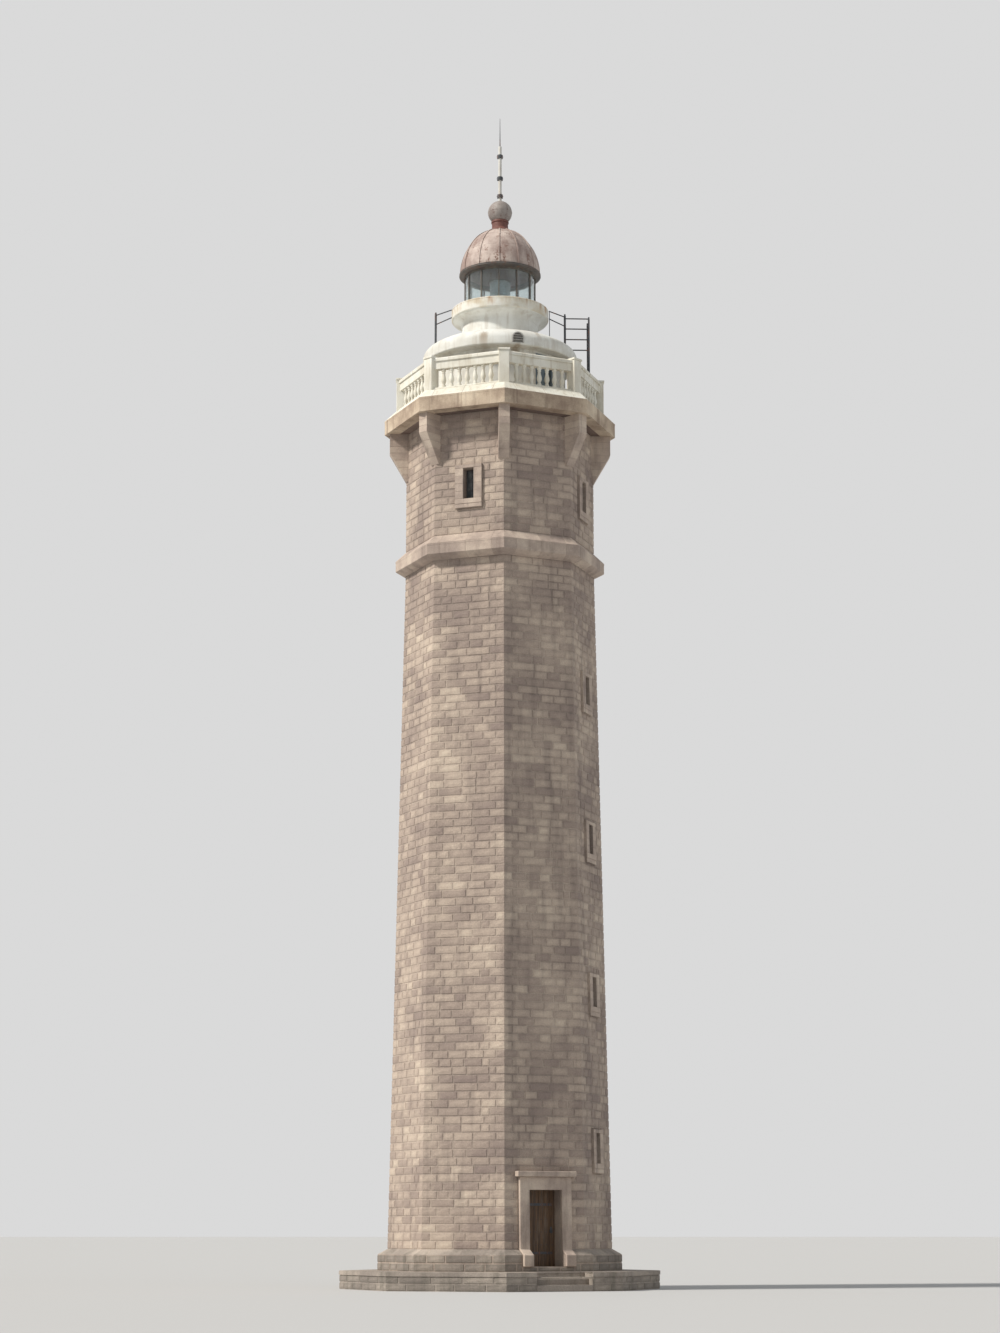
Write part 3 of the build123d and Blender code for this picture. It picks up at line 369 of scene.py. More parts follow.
@dataclass(frozen=True)
class MineralFinish(Finish):
    """Stone, mortar, plaster or render.

    Attributes:
        name: Material name.
        colours: Colours from the darkest stone or patch to the palest.
        stain: Colour of rain streaks, dirt and rust runs, and of the painted joint shade at the stones'
            rims.
        surface: How the surface is worked.
        stain_share: How much of the stain shows.
        blotch_share: How much large patches change the colour.
        blotch_scale: Number of patches to a metre.
        streak_scale: Number of streaks to a metre.
        tone_from_stone: Whether the colour follows each stone's own tone.
        joint_shade_share: How much painted shade of the joints darkens the stones' rims.
        run: Levels between which the stain grows from none to all.
        runs: Direction in radians, half width in metres, top and foot of single rust runs.
        slot: The record's material slot that its pieces follow, or none if it has no pieces. Not used.
    """

    name: str
    colours: tuple[Colour, ...]
    stain: Colour
    surface: Surface = Surface.DRESSED
    stain_share: float = 0.35
    blotch_share: float = 0.5
    blotch_scale: float = 0.6
    streak_scale: float = 3.0
    tone_from_stone: bool = False
    joint_shade_share: float = 0.0
    run: Point | None = None
    runs: tuple[tuple[float, ...], ...] = ()
    slot: str = ""

    FLECKS: ClassVar = ((0.0, (0.35, 0.33, 0.33)), (1.0, (0.66, 0.65, 0.63)))
    CRYSTALS_TO_A_PIT: ClassVar = 4
    RAGGED: ClassVar = 0.12
    ROUGHNESS: ClassVar[Point] = (0.78, 0.94)

    def shade(self, nodes: Nodes, shader: bpy.types.Node) -> None:
        """Builds the stone, plaster or mortar colours and their bump.

        Args:
            nodes: The material's nodes.
            shader: Its Principled shader.
        """
        crystals, fleck_share, depth = self.surface.value
        scales = {"Blotch Scale": self.blotch_scale, "Streak Scale": self.streak_scale}
        weather = WEATHER.use(nodes, scales)
        grain = GRAIN.use(nodes, {"Scale": crystals, "Pit Scale": crystals / self.CRYSTALS_TO_A_PIT})
        factor = weather["Blotch"]
        if self.tone_from_stone:
            tone = nodes.add("ShaderNodeAttribute", attribute_name="tone").outputs["Fac"]
            factor = nodes.add("ShaderNodeMix", {0: self.blotch_share, 2: tone, 3: factor}).outputs[0]
        steps = len(self.colours) - 1
        base = nodes.ramp(factor, [(k / steps, colour) for k, colour in enumerate(self.colours)])
        fleck = nodes.ramp(grain["Fleck"], self.FLECKS)
        base = nodes.mix(fleck_share, base, fleck, "OVERLAY")
        streak = nodes.math("MULTIPLY", weather["Streak"], self.stain_share)
        if self.run:
            level = nodes.add("ShaderNodeSeparateXYZ", {0: nodes.place()}).outputs[2]
            ragged = nodes.math("MULTIPLY_ADD", weather["Streak"], self.RAGGED, level)
            streak = nodes.math("MULTIPLY", streak, nodes.window(ragged, *self.run))
        base = nodes.mix(streak, base, self.stain)
        for run in self.runs:
            place = dict(zip(("Angle", "Half Width", "Top", "Foot"), run))
            base = nodes.mix(RUST_RUN.use(nodes, place)[0], base, self.stain)
        # Painted shade: the rims of each stone, next to the recessed joints, are darkened towards the
        # stain colour
        if self.joint_shade_share:
            edge = nodes.add("ShaderNodeAttribute", attribute_name="edge").outputs["Fac"]
            base = nodes.mix(nodes.math("MULTIPLY", edge, self.joint_shade_share), base, self.stain)
        nodes.feed(shader.inputs["Base Color"], base)
        nodes.feed(shader.inputs["Roughness"], nodes.between(weather["Spot"], *self.ROUGHNESS))
        self.bump(nodes, shader, grain["Height"], depth)


@dataclass(frozen=True)
class MetalFinish(Finish):
    """Painted iron, painted bronze or dull copper with rust or patina.

    Attributes:
        name: Material name.
        colour: Main colour.
        second: Colour of the larger patches.
        rust: Colour of rust or patina in streaks and spots.
        rust_share: How much of it shows.
        roughness: Lowest and highest roughness.
        patch_scale: Number of patches to a metre.
        bump_depth: Depth of the surface's unevenness in metres.
        slot: The record's material slot that its pieces follow, or none if it has no pieces. Not used.
    """

    name: str
    colour: Colour
    second: Colour
    rust: Colour
    rust_share: float = 0.5
    roughness: Point = (0.4, 0.7)
    patch_scale: float = 2.0
    bump_depth: float = 0.002
    slot: str = ""

    SCALES: ClassVar = {"Blotch Scale": 1, "Streak Scale": 4, "Spot Scale": 14}
    STREAK_LENGTH: ClassVar = 0.2
    GRAIN_SCALES: ClassVar = {"Scale": 180.0, "Pit Scale": 40.0}

    def shade(self, nodes: Nodes, shader: bpy.types.Node) -> None:
        """Builds the metal's patches, rust and sheen.

        Args:
            nodes: The material's nodes.
            shader: Its Principled shader.
        """
        scales = {name: self.patch_scale * share for name, share in self.SCALES.items()}
        weather = WEATHER.use(nodes, scales | {"Streak Length": self.STREAK_LENGTH})
        grain = GRAIN.use(nodes, self.GRAIN_SCALES)
        base = nodes.mix(weather["Blotch"], self.colour, self.second)
        worn = nodes.math("MULTIPLY", weather["Streak"], weather["Spot"])
        worn = nodes.math("MULTIPLY", worn, self.rust_share * 2, clamp=True)
        nodes.feed(shader.inputs["Base Color"], nodes.mix(worn, base, self.rust))
        nodes.feed(shader.inputs["Roughness"], nodes.between(weather["Spot"], *self.roughness))
        self.bump(nodes, shader, grain["Height"], self.bump_depth)


@dataclass(frozen=True)
class WoodFinish(Finish):
    """Oiled boards whose grain runs upright.

    Attributes:
        name: Material name.
        pale: Colour of the early wood.
        dark: Colour of the late wood.
        grain_scale: Number of grain lines to a metre.
    """

    name: str
    pale: Colour
    dark: Colour
    grain_scale: float = 22.0

    FADED: ClassVar[Colour] = (0.30, 0.27, 0.23)
    FADED_SHARE: ClassVar = 0.3
    GRAIN: ClassVar = (8.0, 0.7)
    LATE_WOOD: ClassVar[Point] = (0.35, 0.65)
    UPRIGHT: ClassVar = (1.0, 1.0, 0.06)
    ROUGHNESS: ClassVar[Point] = (0.5, 0.78)
    BUMP_DEPTH: ClassVar = 0.004

    def shade(self, nodes: Nodes, shader: bpy.types.Node) -> None:
        """Builds the wood's grain lines and faded streaks.

        Args:
            nodes: The material's nodes.
            shader: Its Principled shader.
        """
        drawn = nodes.vector("MULTIPLY", nodes.place(), self.UPRIGHT)
        lines = nodes.noise(drawn, self.grain_scale, *self.GRAIN)
        base = nodes.mix(nodes.window(lines, *self.LATE_WOOD), self.dark, self.pale)
        weather = WEATHER.use(nodes, {"Streak Scale": 6.0})
        faded = nodes.math("MULTIPLY", weather["Streak"], self.FADED_SHARE)
        nodes.feed(shader.inputs["Base Color"], nodes.mix(faded, base, self.FADED))
        nodes.feed(shader.inputs["Roughness"], nodes.between(lines, *self.ROUGHNESS))
        self.bump(nodes, shader, lines, self.BUMP_DEPTH)


@dataclass(frozen=True)
class GlassFinish(Finish):
    """Clear or dusty glass.

    Attributes:
        name: Material name.
        tint: Colour of the glass.
        clear: Transmission weight.
        dust: Colour of dust on it.
        dust_share: How much dust shows.
        ior: Index of refraction.
    """

    name: str
    tint: Colour
    clear: float = 0.9
    dust: Colour = (0.72, 0.72, 0.68)
    dust_share: float = 0.15
    ior: float = 1.45

    ROUGHNESS: ClassVar[Point] = (0.02, 0.12)

    def shade(self, nodes: Nodes, shader: bpy.types.Node) -> None:
        """Builds the glass's tint, dust and clearness.

        Args:
            nodes: The material's nodes.
            shader: Its Principled shader.
        """
        weather = WEATHER.use(nodes, {"Blotch Scale": 2.0, "Spot Scale": 18.0})
        dust = nodes.math("MULTIPLY", weather["Blotch"], self.dust_share)
        nodes.feed(shader.inputs["Base Color"], nodes.mix(dust, self.tint, self.dust))
        nodes.feed(shader.inputs["Roughness"], nodes.between(weather["Spot"], *self.ROUGHNESS))
        shader.inputs["Transmission Weight"].default_value = self.clear
        shader.inputs["IOR"].default_value = self.ior


RUST_RUNS = tuple(
    (math.radians(degrees), half, top, foot)
    for degrees, half, top, foot in (
        (-104, 0.24, 29.62, 28.85),
        (-79, 0.24, 29.22, 28.40),
        (-62, 0.16, 29.95, 29.30),
        (-8, 0.26, 29.80, 28.60),
        (-172, 0.22, 29.80, 29.00),
    )
)
MORTAR = MineralFinish(
    "lime_mortar", ((0.290, 0.238, 0.206), (0.405, 0.336, 0.284), (0.500, 0.420, 0.352)),
    stain=(0.155, 0.126, 0.110), stain_share=0.5, surface=Surface.HEWN,
)
GRANITE = MineralFinish(
    "granite_blocks",
    ((0.272, 0.214, 0.190), (0.385, 0.310, 0.262), (0.495, 0.406, 0.335), (0.640, 0.540, 0.436)),
    stain=(0.205, 0.160, 0.142), stain_share=0.45, blotch_share=0.42, surface=Surface.HEWN,
    tone_from_stone=True, joint_shade_share=0.18, slot="granite",
)
BASE_GRANITE = MineralFinish(
    "plinth_granite", ((0.200, 0.172, 0.152), (0.325, 0.282, 0.246), (0.460, 0.398, 0.338)),
    stain=(0.105, 0.098, 0.076), stain_share=0.5, surface=Surface.HEWN, tone_from_stone=True,
    joint_shade_share=0.3, slot="base_granite",
)
CAP_GRANITE = MineralFinish(
    "podium_cap_granite", ((0.250, 0.216, 0.190), (0.350, 0.304, 0.264), (0.435, 0.378, 0.324)),
    stain=(0.110, 0.102, 0.080), stain_share=0.5, surface=Surface.HEWN,
)
DRESSED_GRANITE = MineralFinish(
    "tooled_granite", ((0.330, 0.265, 0.230), (0.480, 0.393, 0.330), (0.620, 0.528, 0.435)),
    stain=(0.190, 0.145, 0.125), stain_share=0.55, tone_from_stone=True, blotch_share=0.6,
    blotch_scale=1.1, joint_shade_share=0.25, slot="dressed_granite",
)
SLAB_STONE = MineralFinish(
    "stained_slab_stone", ((0.285, 0.208, 0.158), (0.500, 0.402, 0.302), (0.690, 0.588, 0.455)),
    stain=(0.205, 0.140, 0.104), stain_share=0.62, tone_from_stone=True, blotch_share=0.7,
    blotch_scale=0.9, streak_scale=4.0, joint_shade_share=0.2, slot="slab_stone",
)
# Painted shade: the soffit's colours are far darker than the slab's own stone, standing in for the
# shadow under the gallery slab
SHADED_SOFFIT_STONE = MineralFinish(
    "slab_soffit_painted_shade", ((0.105, 0.076, 0.066), (0.185, 0.135, 0.114), (0.265, 0.200, 0.166)),
    stain=(0.078, 0.056, 0.050), stain_share=0.5, tone_from_stone=True, blotch_scale=0.9,
    joint_shade_share=0.2, slot="slab_stone",
)
PALE_STONE = MineralFinish(
    "balustrade_stone", ((0.640, 0.602, 0.510), (0.760, 0.738, 0.650), (0.825, 0.812, 0.745)),
    stain=(0.420, 0.345, 0.245), surface=Surface.CARVED, stain_share=0.45, blotch_scale=1.4,
    streak_scale=7.0, tone_from_stone=True, blotch_share=0.7, joint_shade_share=0.15, slot="pale_stone",
)
PLASTER = MineralFinish(
    "white_lime_render", ((0.660, 0.650, 0.600), (0.765, 0.765, 0.722), (0.815, 0.820, 0.785)),
    stain=(0.360, 0.280, 0.200), surface=Surface.RENDERED, stain_share=0.32, blotch_scale=1.1,
    streak_scale=5.0, runs=RUST_RUNS, slot="lime_plaster",
)
STAINED_PLASTER = MineralFinish(
    "rust_stained_render", ((0.640, 0.575, 0.455), (0.745, 0.715, 0.625), (0.800, 0.790, 0.735)),
    stain=(0.440, 0.255, 0.115), surface=Surface.RENDERED, stain_share=1.0, blotch_scale=1.8,
    streak_scale=4.0, run=(30.80, 31.00), slot="stained_plaster",
)
FLOOR_STONE = MineralFinish(
    "worn_floor_stone", ((0.280, 0.265, 0.235), (0.400, 0.385, 0.350), (0.480, 0.460, 0.415)),
    stain=(0.190, 0.175, 0.150),
)
DARK_IRON = MetalFinish(
    "rusted_dark_iron", (0.045, 0.052, 0.062), (0.085, 0.090, 0.098), (0.230, 0.085, 0.035),
    rust_share=0.8, roughness=(0.45, 0.75), patch_scale=3.0, slot="dark_iron",
)
VENT_PAINT = MetalFinish(
    "grey_vent_paint", (0.400, 0.392, 0.372), (0.500, 0.490, 0.465), (0.240, 0.150, 0.095),
    roughness=(0.55, 0.8), patch_scale=3.0,
)
LANTERN_METAL = MetalFinish(
    "lantern_bronze_paint", (0.085, 0.070, 0.060), (0.140, 0.110, 0.085), (0.270, 0.330, 0.270),
    rust_share=0.4, roughness=(0.42, 0.66), slot="lantern_metal",
)
DOME_COPPER = MetalFinish(
    "weathered_cupola_copper", (0.315, 0.232, 0.204), (0.590, 0.495, 0.440), (0.215, 0.125, 0.098),
    rust_share=0.8, roughness=(0.62, 0.86), patch_scale=1.3, bump_depth=0.004, slot="dome_copper",
)
DARK_COPPER = MetalFinish(
    "neck_red_copper", (0.135, 0.050, 0.040), (0.200, 0.084, 0.066), (0.080, 0.045, 0.040),
    roughness=(0.55, 0.8), slot="dark_copper",
)
RIM_COPPER = MetalFinish(
    "gutter_rim_copper", (0.095, 0.088, 0.084), (0.165, 0.145, 0.130), (0.215, 0.100, 0.060),
    rust_share=0.6, roughness=(0.5, 0.78), patch_scale=1.6, slot="dark_copper",
)
BALL_COPPER = MetalFinish(
    "dull_ball_copper", (0.255, 0.222, 0.205), (0.370, 0.335, 0.310), (0.140, 0.080, 0.068),
    rust_share=0.7, roughness=(0.52, 0.76), slot="ball_copper",
)
ROD_METAL = MetalFinish(
    "pale_rod_paint", (0.560, 0.550, 0.510), (0.660, 0.650, 0.610), (0.340, 0.190, 0.100),
    roughness=(0.4, 0.62), patch_scale=4.0,
)
# Painted shade: the blue-grey of the door and its frame copies the cool shade on the white plaster of
# the room's shaded side, where the door stands
SHADE_BLUE_DOOR_PAINT = MetalFinish(
    "shade_blue_door_paint", (0.115, 0.165, 0.205), (0.165, 0.215, 0.250), (0.300, 0.240, 0.180),
    rust_share=0.45, roughness=(0.45, 0.7), patch_scale=4.0, slot="door_paint",
)
SASH_PAINT = MetalFinish(
    "dark_sash_paint", (0.050, 0.055, 0.060), (0.085, 0.088, 0.090), (0.180, 0.110, 0.060),
    rust_share=0.4, patch_scale=6.0, slot="sash_paint",
)
DOOR_OAK = WoodFinish("oiled_oak", (0.155, 0.088, 0.045), (0.060, 0.034, 0.020))
WINDOW_GLASS = GlassFinish("dusty_window_glass", (0.10, 0.12, 0.13), clear=0.35, dust_share=0.3)
LANTERN_GLASS = GlassFinish("clear_lantern_glass", (0.86, 0.93, 0.94), clear=0.95, dust_share=0.12)
OPTIC_GLASS = GlassFinish("ribbed_lens_glass", (0.78, 0.90, 0.95), clear=0.75, dust_share=0.2, ior=1.52)


def link(mesh: bpy.types.Mesh, name: str) -> bpy.types.Object:
    """Puts a mesh into the scene under a name.

    Args:
        mesh: The mesh.
        name: The object's name.

    Returns:
        The new object.
    """
    made = bpy.data.objects.new(name, mesh)
    bpy.context.scene.collection.objects.link(made)
    return made


def evaluated(shape: bpy.types.Object, name: str) -> bpy.types.Object:
    """Turns an object with modifiers into a plain one and removes the first.

    Args:
        shape: The object with live modifiers.
        name: Name of the plain object.

    Returns:
        The plain object.
    """
    graph = bpy.context.evaluated_depsgraph_get()
    graph.update()
    mesh = bpy.data.meshes.new_from_object(
        shape.evaluated_get(graph), preserve_all_data_layers=True, depsgraph=graph
    )
    bpy.data.objects.remove(shape)
    mesh.name = name
    return link(mesh, name)


def as_mesh(shape: bmesh.types.BMesh, name: str) -> bpy.types.Mesh:
    """Turns a shape into a mesh and frees it.

    Args:
        shape: The shape.
        name: The mesh's name.

    Returns:
        The mesh.
    """
    mesh = bpy.data.meshes.new(name)
    shape.to_mesh(mesh)
    shape.free()
    return mesh


def rounded(mesh: bpy.types.Mesh, name: str, width: float) -> bpy.types.Object:
    """Rounds the hard edges of a mesh over.

    Args:
        mesh: The mesh.
        name: Name of the rounded object.
        width: Width of the rounding in metres.

    Returns:
        The rounded object.
    """
    raw = link(mesh, name + "_raw")
    bevel = raw.modifiers.new("rounding", "BEVEL")
    bevel.width, bevel.segments = width, 2
    bevel.limit_method, bevel.angle_limit = "ANGLE", HARD_EDGE
    return evaluated(raw, name)


def settle(piece: bpy.types.Object, finish: Finish, *replaced: str) -> None:
    """Gives a piece its finish, hides the solids that it stands for, and ties it to the building.

    Args:
        piece: The finished piece.
        finish: Its finish.
        *replaced: Solids that it stands for.
    """
    if not piece.data.materials:
        piece.data.materials.append(finish.material())
    if replaced:
        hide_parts(*replaced)
    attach(piece, BODY)
    LOG.info("%s: %d faces", piece.name, len(piece.data.polygons))


def dress(finish: Finish, *names: str) -> None:
    """Gives solids that stay in view their finish.

    Args:
        finish: The finish.
        *names: Names of the solids.
    """
    for name in names:
        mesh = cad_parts[name].data
        mesh.materials.clear()
        mesh.materials.append(finish.material())


def corner_radius(name: str) -> float:
    """Gives the largest reach of a solid along +X, which is an octagon's corner."""
    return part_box(name)[1].x


def bodies(name: str) -> list[list[Vector]]:
    """Finds the separate bodies inside one solid's mesh.

    Args:
        name: The solid's name.

    Returns:
        The points of each body.
    """
    shape = bmesh.new()
    shape.from_mesh(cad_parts[name].data)
    bmesh.ops.remove_doubles(shape, verts=shape.verts, dist=SAME_PLACE)
    shape.verts.index_update()
    found, seen = [], set()
    for start in shape.verts:
        if start.index in seen:
            continue
        seen.add(start.index)
        group, queue = [], [start]
        while queue:
            vertex = queue.pop()
            group.append(vertex.co.copy())
            for edge in vertex.link_edges:
                other = edge.other_vert(vertex)
                if other.index not in seen:
                    seen.add(other.index)
                    queue.append(other)
        found.append(group)
    shape.free()
    return found


def carve(name: str, width: float, finish: Finish, seed: int = 4) -> None:
    """Stands in for a solid with a copy whose edges are worn and whose bodies differ in tone.

    Args:
        name: The solid's name.
        width: Width of the worn edges.
        finish: Its finish.
        seed: Seed of the tones.
    """
    shape = bmesh.new()
    shape.from_mesh(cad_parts[name].data)
    bmesh.ops.remove_doubles(shape, verts=shape.verts, dist=SAME_PLACE)
    bmesh.ops.dissolve_limit(shape, angle_limit=SAME_PLANE, verts=shape.verts, edges=shape.edges)
    piece = rounded(as_mesh(shape, name), "worn_" + name, width)
    paint_tones(piece.data, seed)
    settle(piece, finish, name)


@dataclass(frozen=True)
class Stone:
    """One squared stone of a wall or pavement.

    Attributes:
        centre: Middle of its bed on the wall's face.
        turn: Turn that brings its outward side from +X to where it faces.
        length: Length along the course.
        height: Height of the course.
        proud: How far it stands out of the mortar.
        ends: Whether the left and right ends are rounded (1) or meet a corner (0).
        tone: Its own tone.
    """

    centre: Vector
    turn: Vector
    length: float
    height: float
    proud: float
    ends: Point = (1.0, 1.0)
    tone: float = 0.5


@dataclass
class Piece:
    """One visible piece of the building, made from its description.

    Attributes:
        name: Name of the piece.
    """

    name: str

    def make(self, finish: Finish) -> bpy.types.Object:
        """Makes the bare piece."""
        raise NotImplementedError

    def build(self, finish: Finish, *replaced: str) -> None:
        """Makes the piece and ties it to the building."""
        settle(self.make(finish), finish, *replaced)


@dataclass
class Grown(Piece):
    """A piece that a geometry tree makes by setting one shape on bare points."""

    SOCKETS: ClassVar[dict[str, str]] = {}
    _trees: ClassVar[dict[str, bpy.types.NodeTree]] = {}

    @classmethod
    def turn(cls, nodes: Nodes) -> object:
        """Gives how each shape is turned as it is set down."""
        return (0.0, 0.0, 0.0)

    @classmethod
    def work(cls, nodes: Nodes, given: Outputs, whole: bpy.types.NodeSocket) -> bpy.types.NodeSocket:
        """Gives the geometry as it is once the shapes stand in place."""
        return whole

    @classmethod
    def tree(cls) -> bpy.types.NodeTree:
        """Builds the tree that all pieces of this kind share.

        Returns:
            The geometry tree.
        """
        label = cls.__name__.lower()
        if label in cls._trees:
            return cls._trees[label]
        tree = cls._trees[label] = bpy.data.node_groups.new(label, "GeometryNodeTree")
        sockets = {"Geometry": "Geometry", "Shape": "Object", **cls.SOCKETS, "Material": "Material"}
        for name, kind in sockets.items():
            tree.interface.new_socket(name, in_out="INPUT", socket_type="NodeSocket" + kind)
        tree.interface.new_socket("Geometry", in_out="OUTPUT", socket_type="NodeSocketGeometry")
        nodes = Nodes(tree)
        given = nodes.add("NodeGroupInput").outputs
        shape = nodes.add("GeometryNodeObjectInfo", {"Object": given["Shape"]}).outputs["Geometry"]
        inputs = {"Points": given["Geometry"], "Instance": shape, "Rotation": cls.turn(nodes)}
        placed = nodes.add("GeometryNodeInstanceOnPoints", inputs).outputs[0]
        whole = nodes.add("GeometryNodeRealizeInstances", {0: placed}).outputs[0]
        inputs = {"Geometry": cls.work(nodes, given, whole), "Material": given["Material"]}
        made = nodes.add("GeometryNodeSetMaterial", inputs).outputs[0]
        nodes.add("NodeGroupOutput", {0: made})
        return tree

    def grow(self, points: bpy.types.Mesh, finish: Finish, values: dict) -> bpy.types.Object:
        """Runs the tree on bare points.

        Args:
            points: Mesh with the points.
            finish: The piece's finish.
            values: Values by input name.

        Returns:
            The plain piece.
        """
        holder = link(points, self.name + "_points")
        modifier = holder.modifiers.new("shapes", "NODES")
        modifier.node_group = self.tree()
        values = values | {"Material": finish.material()}
        for item in self.tree().interface.items_tree:
            if item.item_type == "SOCKET" and item.in_out == "INPUT" and item.name in values:
                modifier[item.identifier] = values[item.name]
        return evaluated(holder, self.name)


@dataclass
class StoneLayer(Grown):
    """Many squared, rough-faced stones made from a list of places.

    Attributes:
        name: Name of the piece.
        rounding: Width of the worn edge in metres.
        bulge: How far the rough faces swell.
        back: How far the stones reach into the mortar, as a negative length.
        seed: Seed of the rough faces.
        stones: The stones.
    """

    rounding: float = 0.018
    bulge: float = 0.014
    back: float = -0.03
    seed: int = 7
    stones: list[Stone] = field(default_factory=list)

    SOCKETS: ClassVar = {name: "Float" for name in ("Rounding", "Bulge", "Back", "Seed")}
    COLUMNS: ClassVar = (-1.0, -0.33, 0.33, 1.0)
    ROWS: ClassVar = (-1.0, 0.0, 1.0)
    WAVES: ClassVar = 1.7
    _block: ClassVar[bpy.types.Object | None] = None

    def points(self) -> bpy.types.Mesh:
        """Builds the bare points that carry each stone's sizes.

        Returns:
            The mesh with the points.
        """
        mesh = bpy.data.meshes.new(self.name + "_points")
        mesh.from_pydata([tuple(stone.centre) for stone in self.stones], [], [])
        values: dict[str, Callable[[Stone], Iterable[float]]] = {
            "stone_place": lambda stone: stone.centre,
            "stone_turn": lambda stone: stone.turn,
            "stone_size": lambda stone: (stone.proud, stone.length / 2, stone.height / 2),
            "stone_ends": lambda stone: (*stone.ends, 0.0),
        }
        for label, value in values.items():
            layer = mesh.attributes.new(label, "FLOAT_VECTOR", "POINT")
            layer.data.foreach_set("vector", [x for stone in self.stones for x in value(stone)])
        tone = mesh.attributes.new("tone", "FLOAT", "POINT")
        tone.data.foreach_set("value", [stone.tone for stone in self.stones])
        return mesh

    @classmethod
    def block(cls) -> bpy.types.Object:
        """Builds the block that every stone starts from, with its corner signs as attributes.

        Returns:
            The hidden block.
        """
        if cls._block:
            return cls._block
        shape = bmesh.new()
        front = [[shape.verts.new((1.0, y, z)) for y in cls.COLUMNS] for z in cls.ROWS]
        faces = [
            (front[r][c], front[r][c + 1], front[r + 1][c + 1], front[r + 1][c])
            for r in range(len(cls.ROWS) - 1)
            for c in range(len(cls.COLUMNS) - 1)
        ]
        rim = front[0] + [row[-1] for row in front[1:]] + front[-1][-2::-1] + [front[1][0]]
        back = [shape.verts.new((0.0, vertex.co.y, vertex.co.z)) for vertex in rim]
        following = [(k, (k + 1) % len(rim)) for k in range(len(rim))]
        faces += [(back[k], back[after], rim[after], rim[k]) for k, after in following]
        for corners in faces:
            shape.faces.new(corners)
        mesh = as_mesh(shape, "stone_block")
        signs = [vertex.co.copy() for vertex in mesh.vertices]
        # Rim points of the block: they do not swell, and the stone finishes darken them as painted
        # joint shade
        worn = [float(co.x == 0.0 or max(abs(co.y), abs(co.z)) == 1.0) for co in signs]
        mesh.attributes.new("edge", "FLOAT", "POINT").data.foreach_set("value", worn)
        corner = mesh.attributes.new("stone_corner", "FLOAT_VECTOR", "POINT")
        corner.data.foreach_set("vector", [x for co in signs for x in co])
        cls._block = link(mesh, "stone_block")
        cls._block.hide_render = True
        return cls._block

    @classmethod
    def work(cls, nodes: Nodes, given: Outputs, whole: bpy.types.NodeSocket) -> bpy.types.NodeSocket:
        """Moves each block's corners to the stone's own size, turn and place, and swells its face.

        Args:
            nodes: The tree's nodes.
            given: The tree's inputs.
            whole: The blocks, all of one size.

        Returns:
            The stones.
        """

        def stored(label: str, kind: str = "FLOAT_VECTOR") -> bpy.types.NodeSocket:
            """Reads a stored attribute by name."""
            reader = "GeometryNodeInputNamedAttribute"
            return nodes.add(reader, {"Name": label}, data_type=kind).outputs[0]

        def parts(label: str) -> bpy.types.bpy_prop_collection:
            """Reads the three parts of a stored vector."""
            return nodes.add("ShaderNodeSeparateXYZ", {0: stored(label)}).outputs

        corner, size, ends = parts("stone_corner"), parts("stone_size"), parts("stone_ends")
        on_right = nodes.math("GREATER_THAN", corner[1], 0.0)
        end = nodes.add("ShaderNodeMix", {0: on_right, 2: ends[0], 3: ends[1]}).outputs[0]
        inset = nodes.math("MULTIPLY", given["Rounding"], corner[0])
        inset_y = nodes.math("MULTIPLY", inset, end)
        along = nodes.math("MULTIPLY", corner[1], nodes.math("SUBTRACT", size[1], inset_y))
        up = nodes.math("MULTIPLY", corner[2], nodes.math("SUBTRACT", size[2], inset))
        inner = nodes.math("SUBTRACT", 1.0, stored("edge", "FLOAT"))
        place = nodes.vector("ADD", stored("stone_place"), stored("stone_corner"))
        inputs = {"Vector": place, "Scale": cls.WAVES, "W": given["Seed"]}
        rough = nodes.add("ShaderNodeTexNoise", inputs, noise_dimensions="4D").outputs[0]
        swell = nodes.math("MULTIPLY", nodes.math("MULTIPLY", inner, rough), given["Bulge"])
        out = nodes.add("ShaderNodeMix", {0: corner[0], 2: given["Back"], 3: size[0]}).outputs[0]
        inputs = {0: nodes.math("ADD", out, swell), 1: along, 2: up}
        inputs = {
            "Vector": nodes.add("ShaderNodeCombineXYZ", inputs).outputs[0],
            "Rotation": stored("stone_turn"),
        }
        turned = nodes.add("ShaderNodeVectorRotate", inputs, rotation_type="EULER_XYZ").outputs[0]
        inputs = {"Geometry": whole, "Position": nodes.vector("ADD", stored("stone_place"), turned)}
        return nodes.add("GeometryNodeSetPosition", inputs).outputs[0]

    def make(self, finish: Finish) -> bpy.types.Object:
        """Makes the stones.

        Args:
            finish: Their finish.

        Returns:
            The stones.
        """
        values = {
            "Shape": self.block(),
            "Rounding": self.rounding,
            "Bulge": self.bulge,
            "Back": self.back,
            "Seed": float(self.seed),
        }
        return self.grow(self.points(), finish, values)


@dataclass(frozen=True)
class Hole:
    """A window or doorway that the stones leave free.

    Attributes:
        face: Number of the octagon's side.
        low: Lowest corner as outward, along the side and up.
        high: Highest corner.
    """

    face: int
    low: Vector
    high: Vector


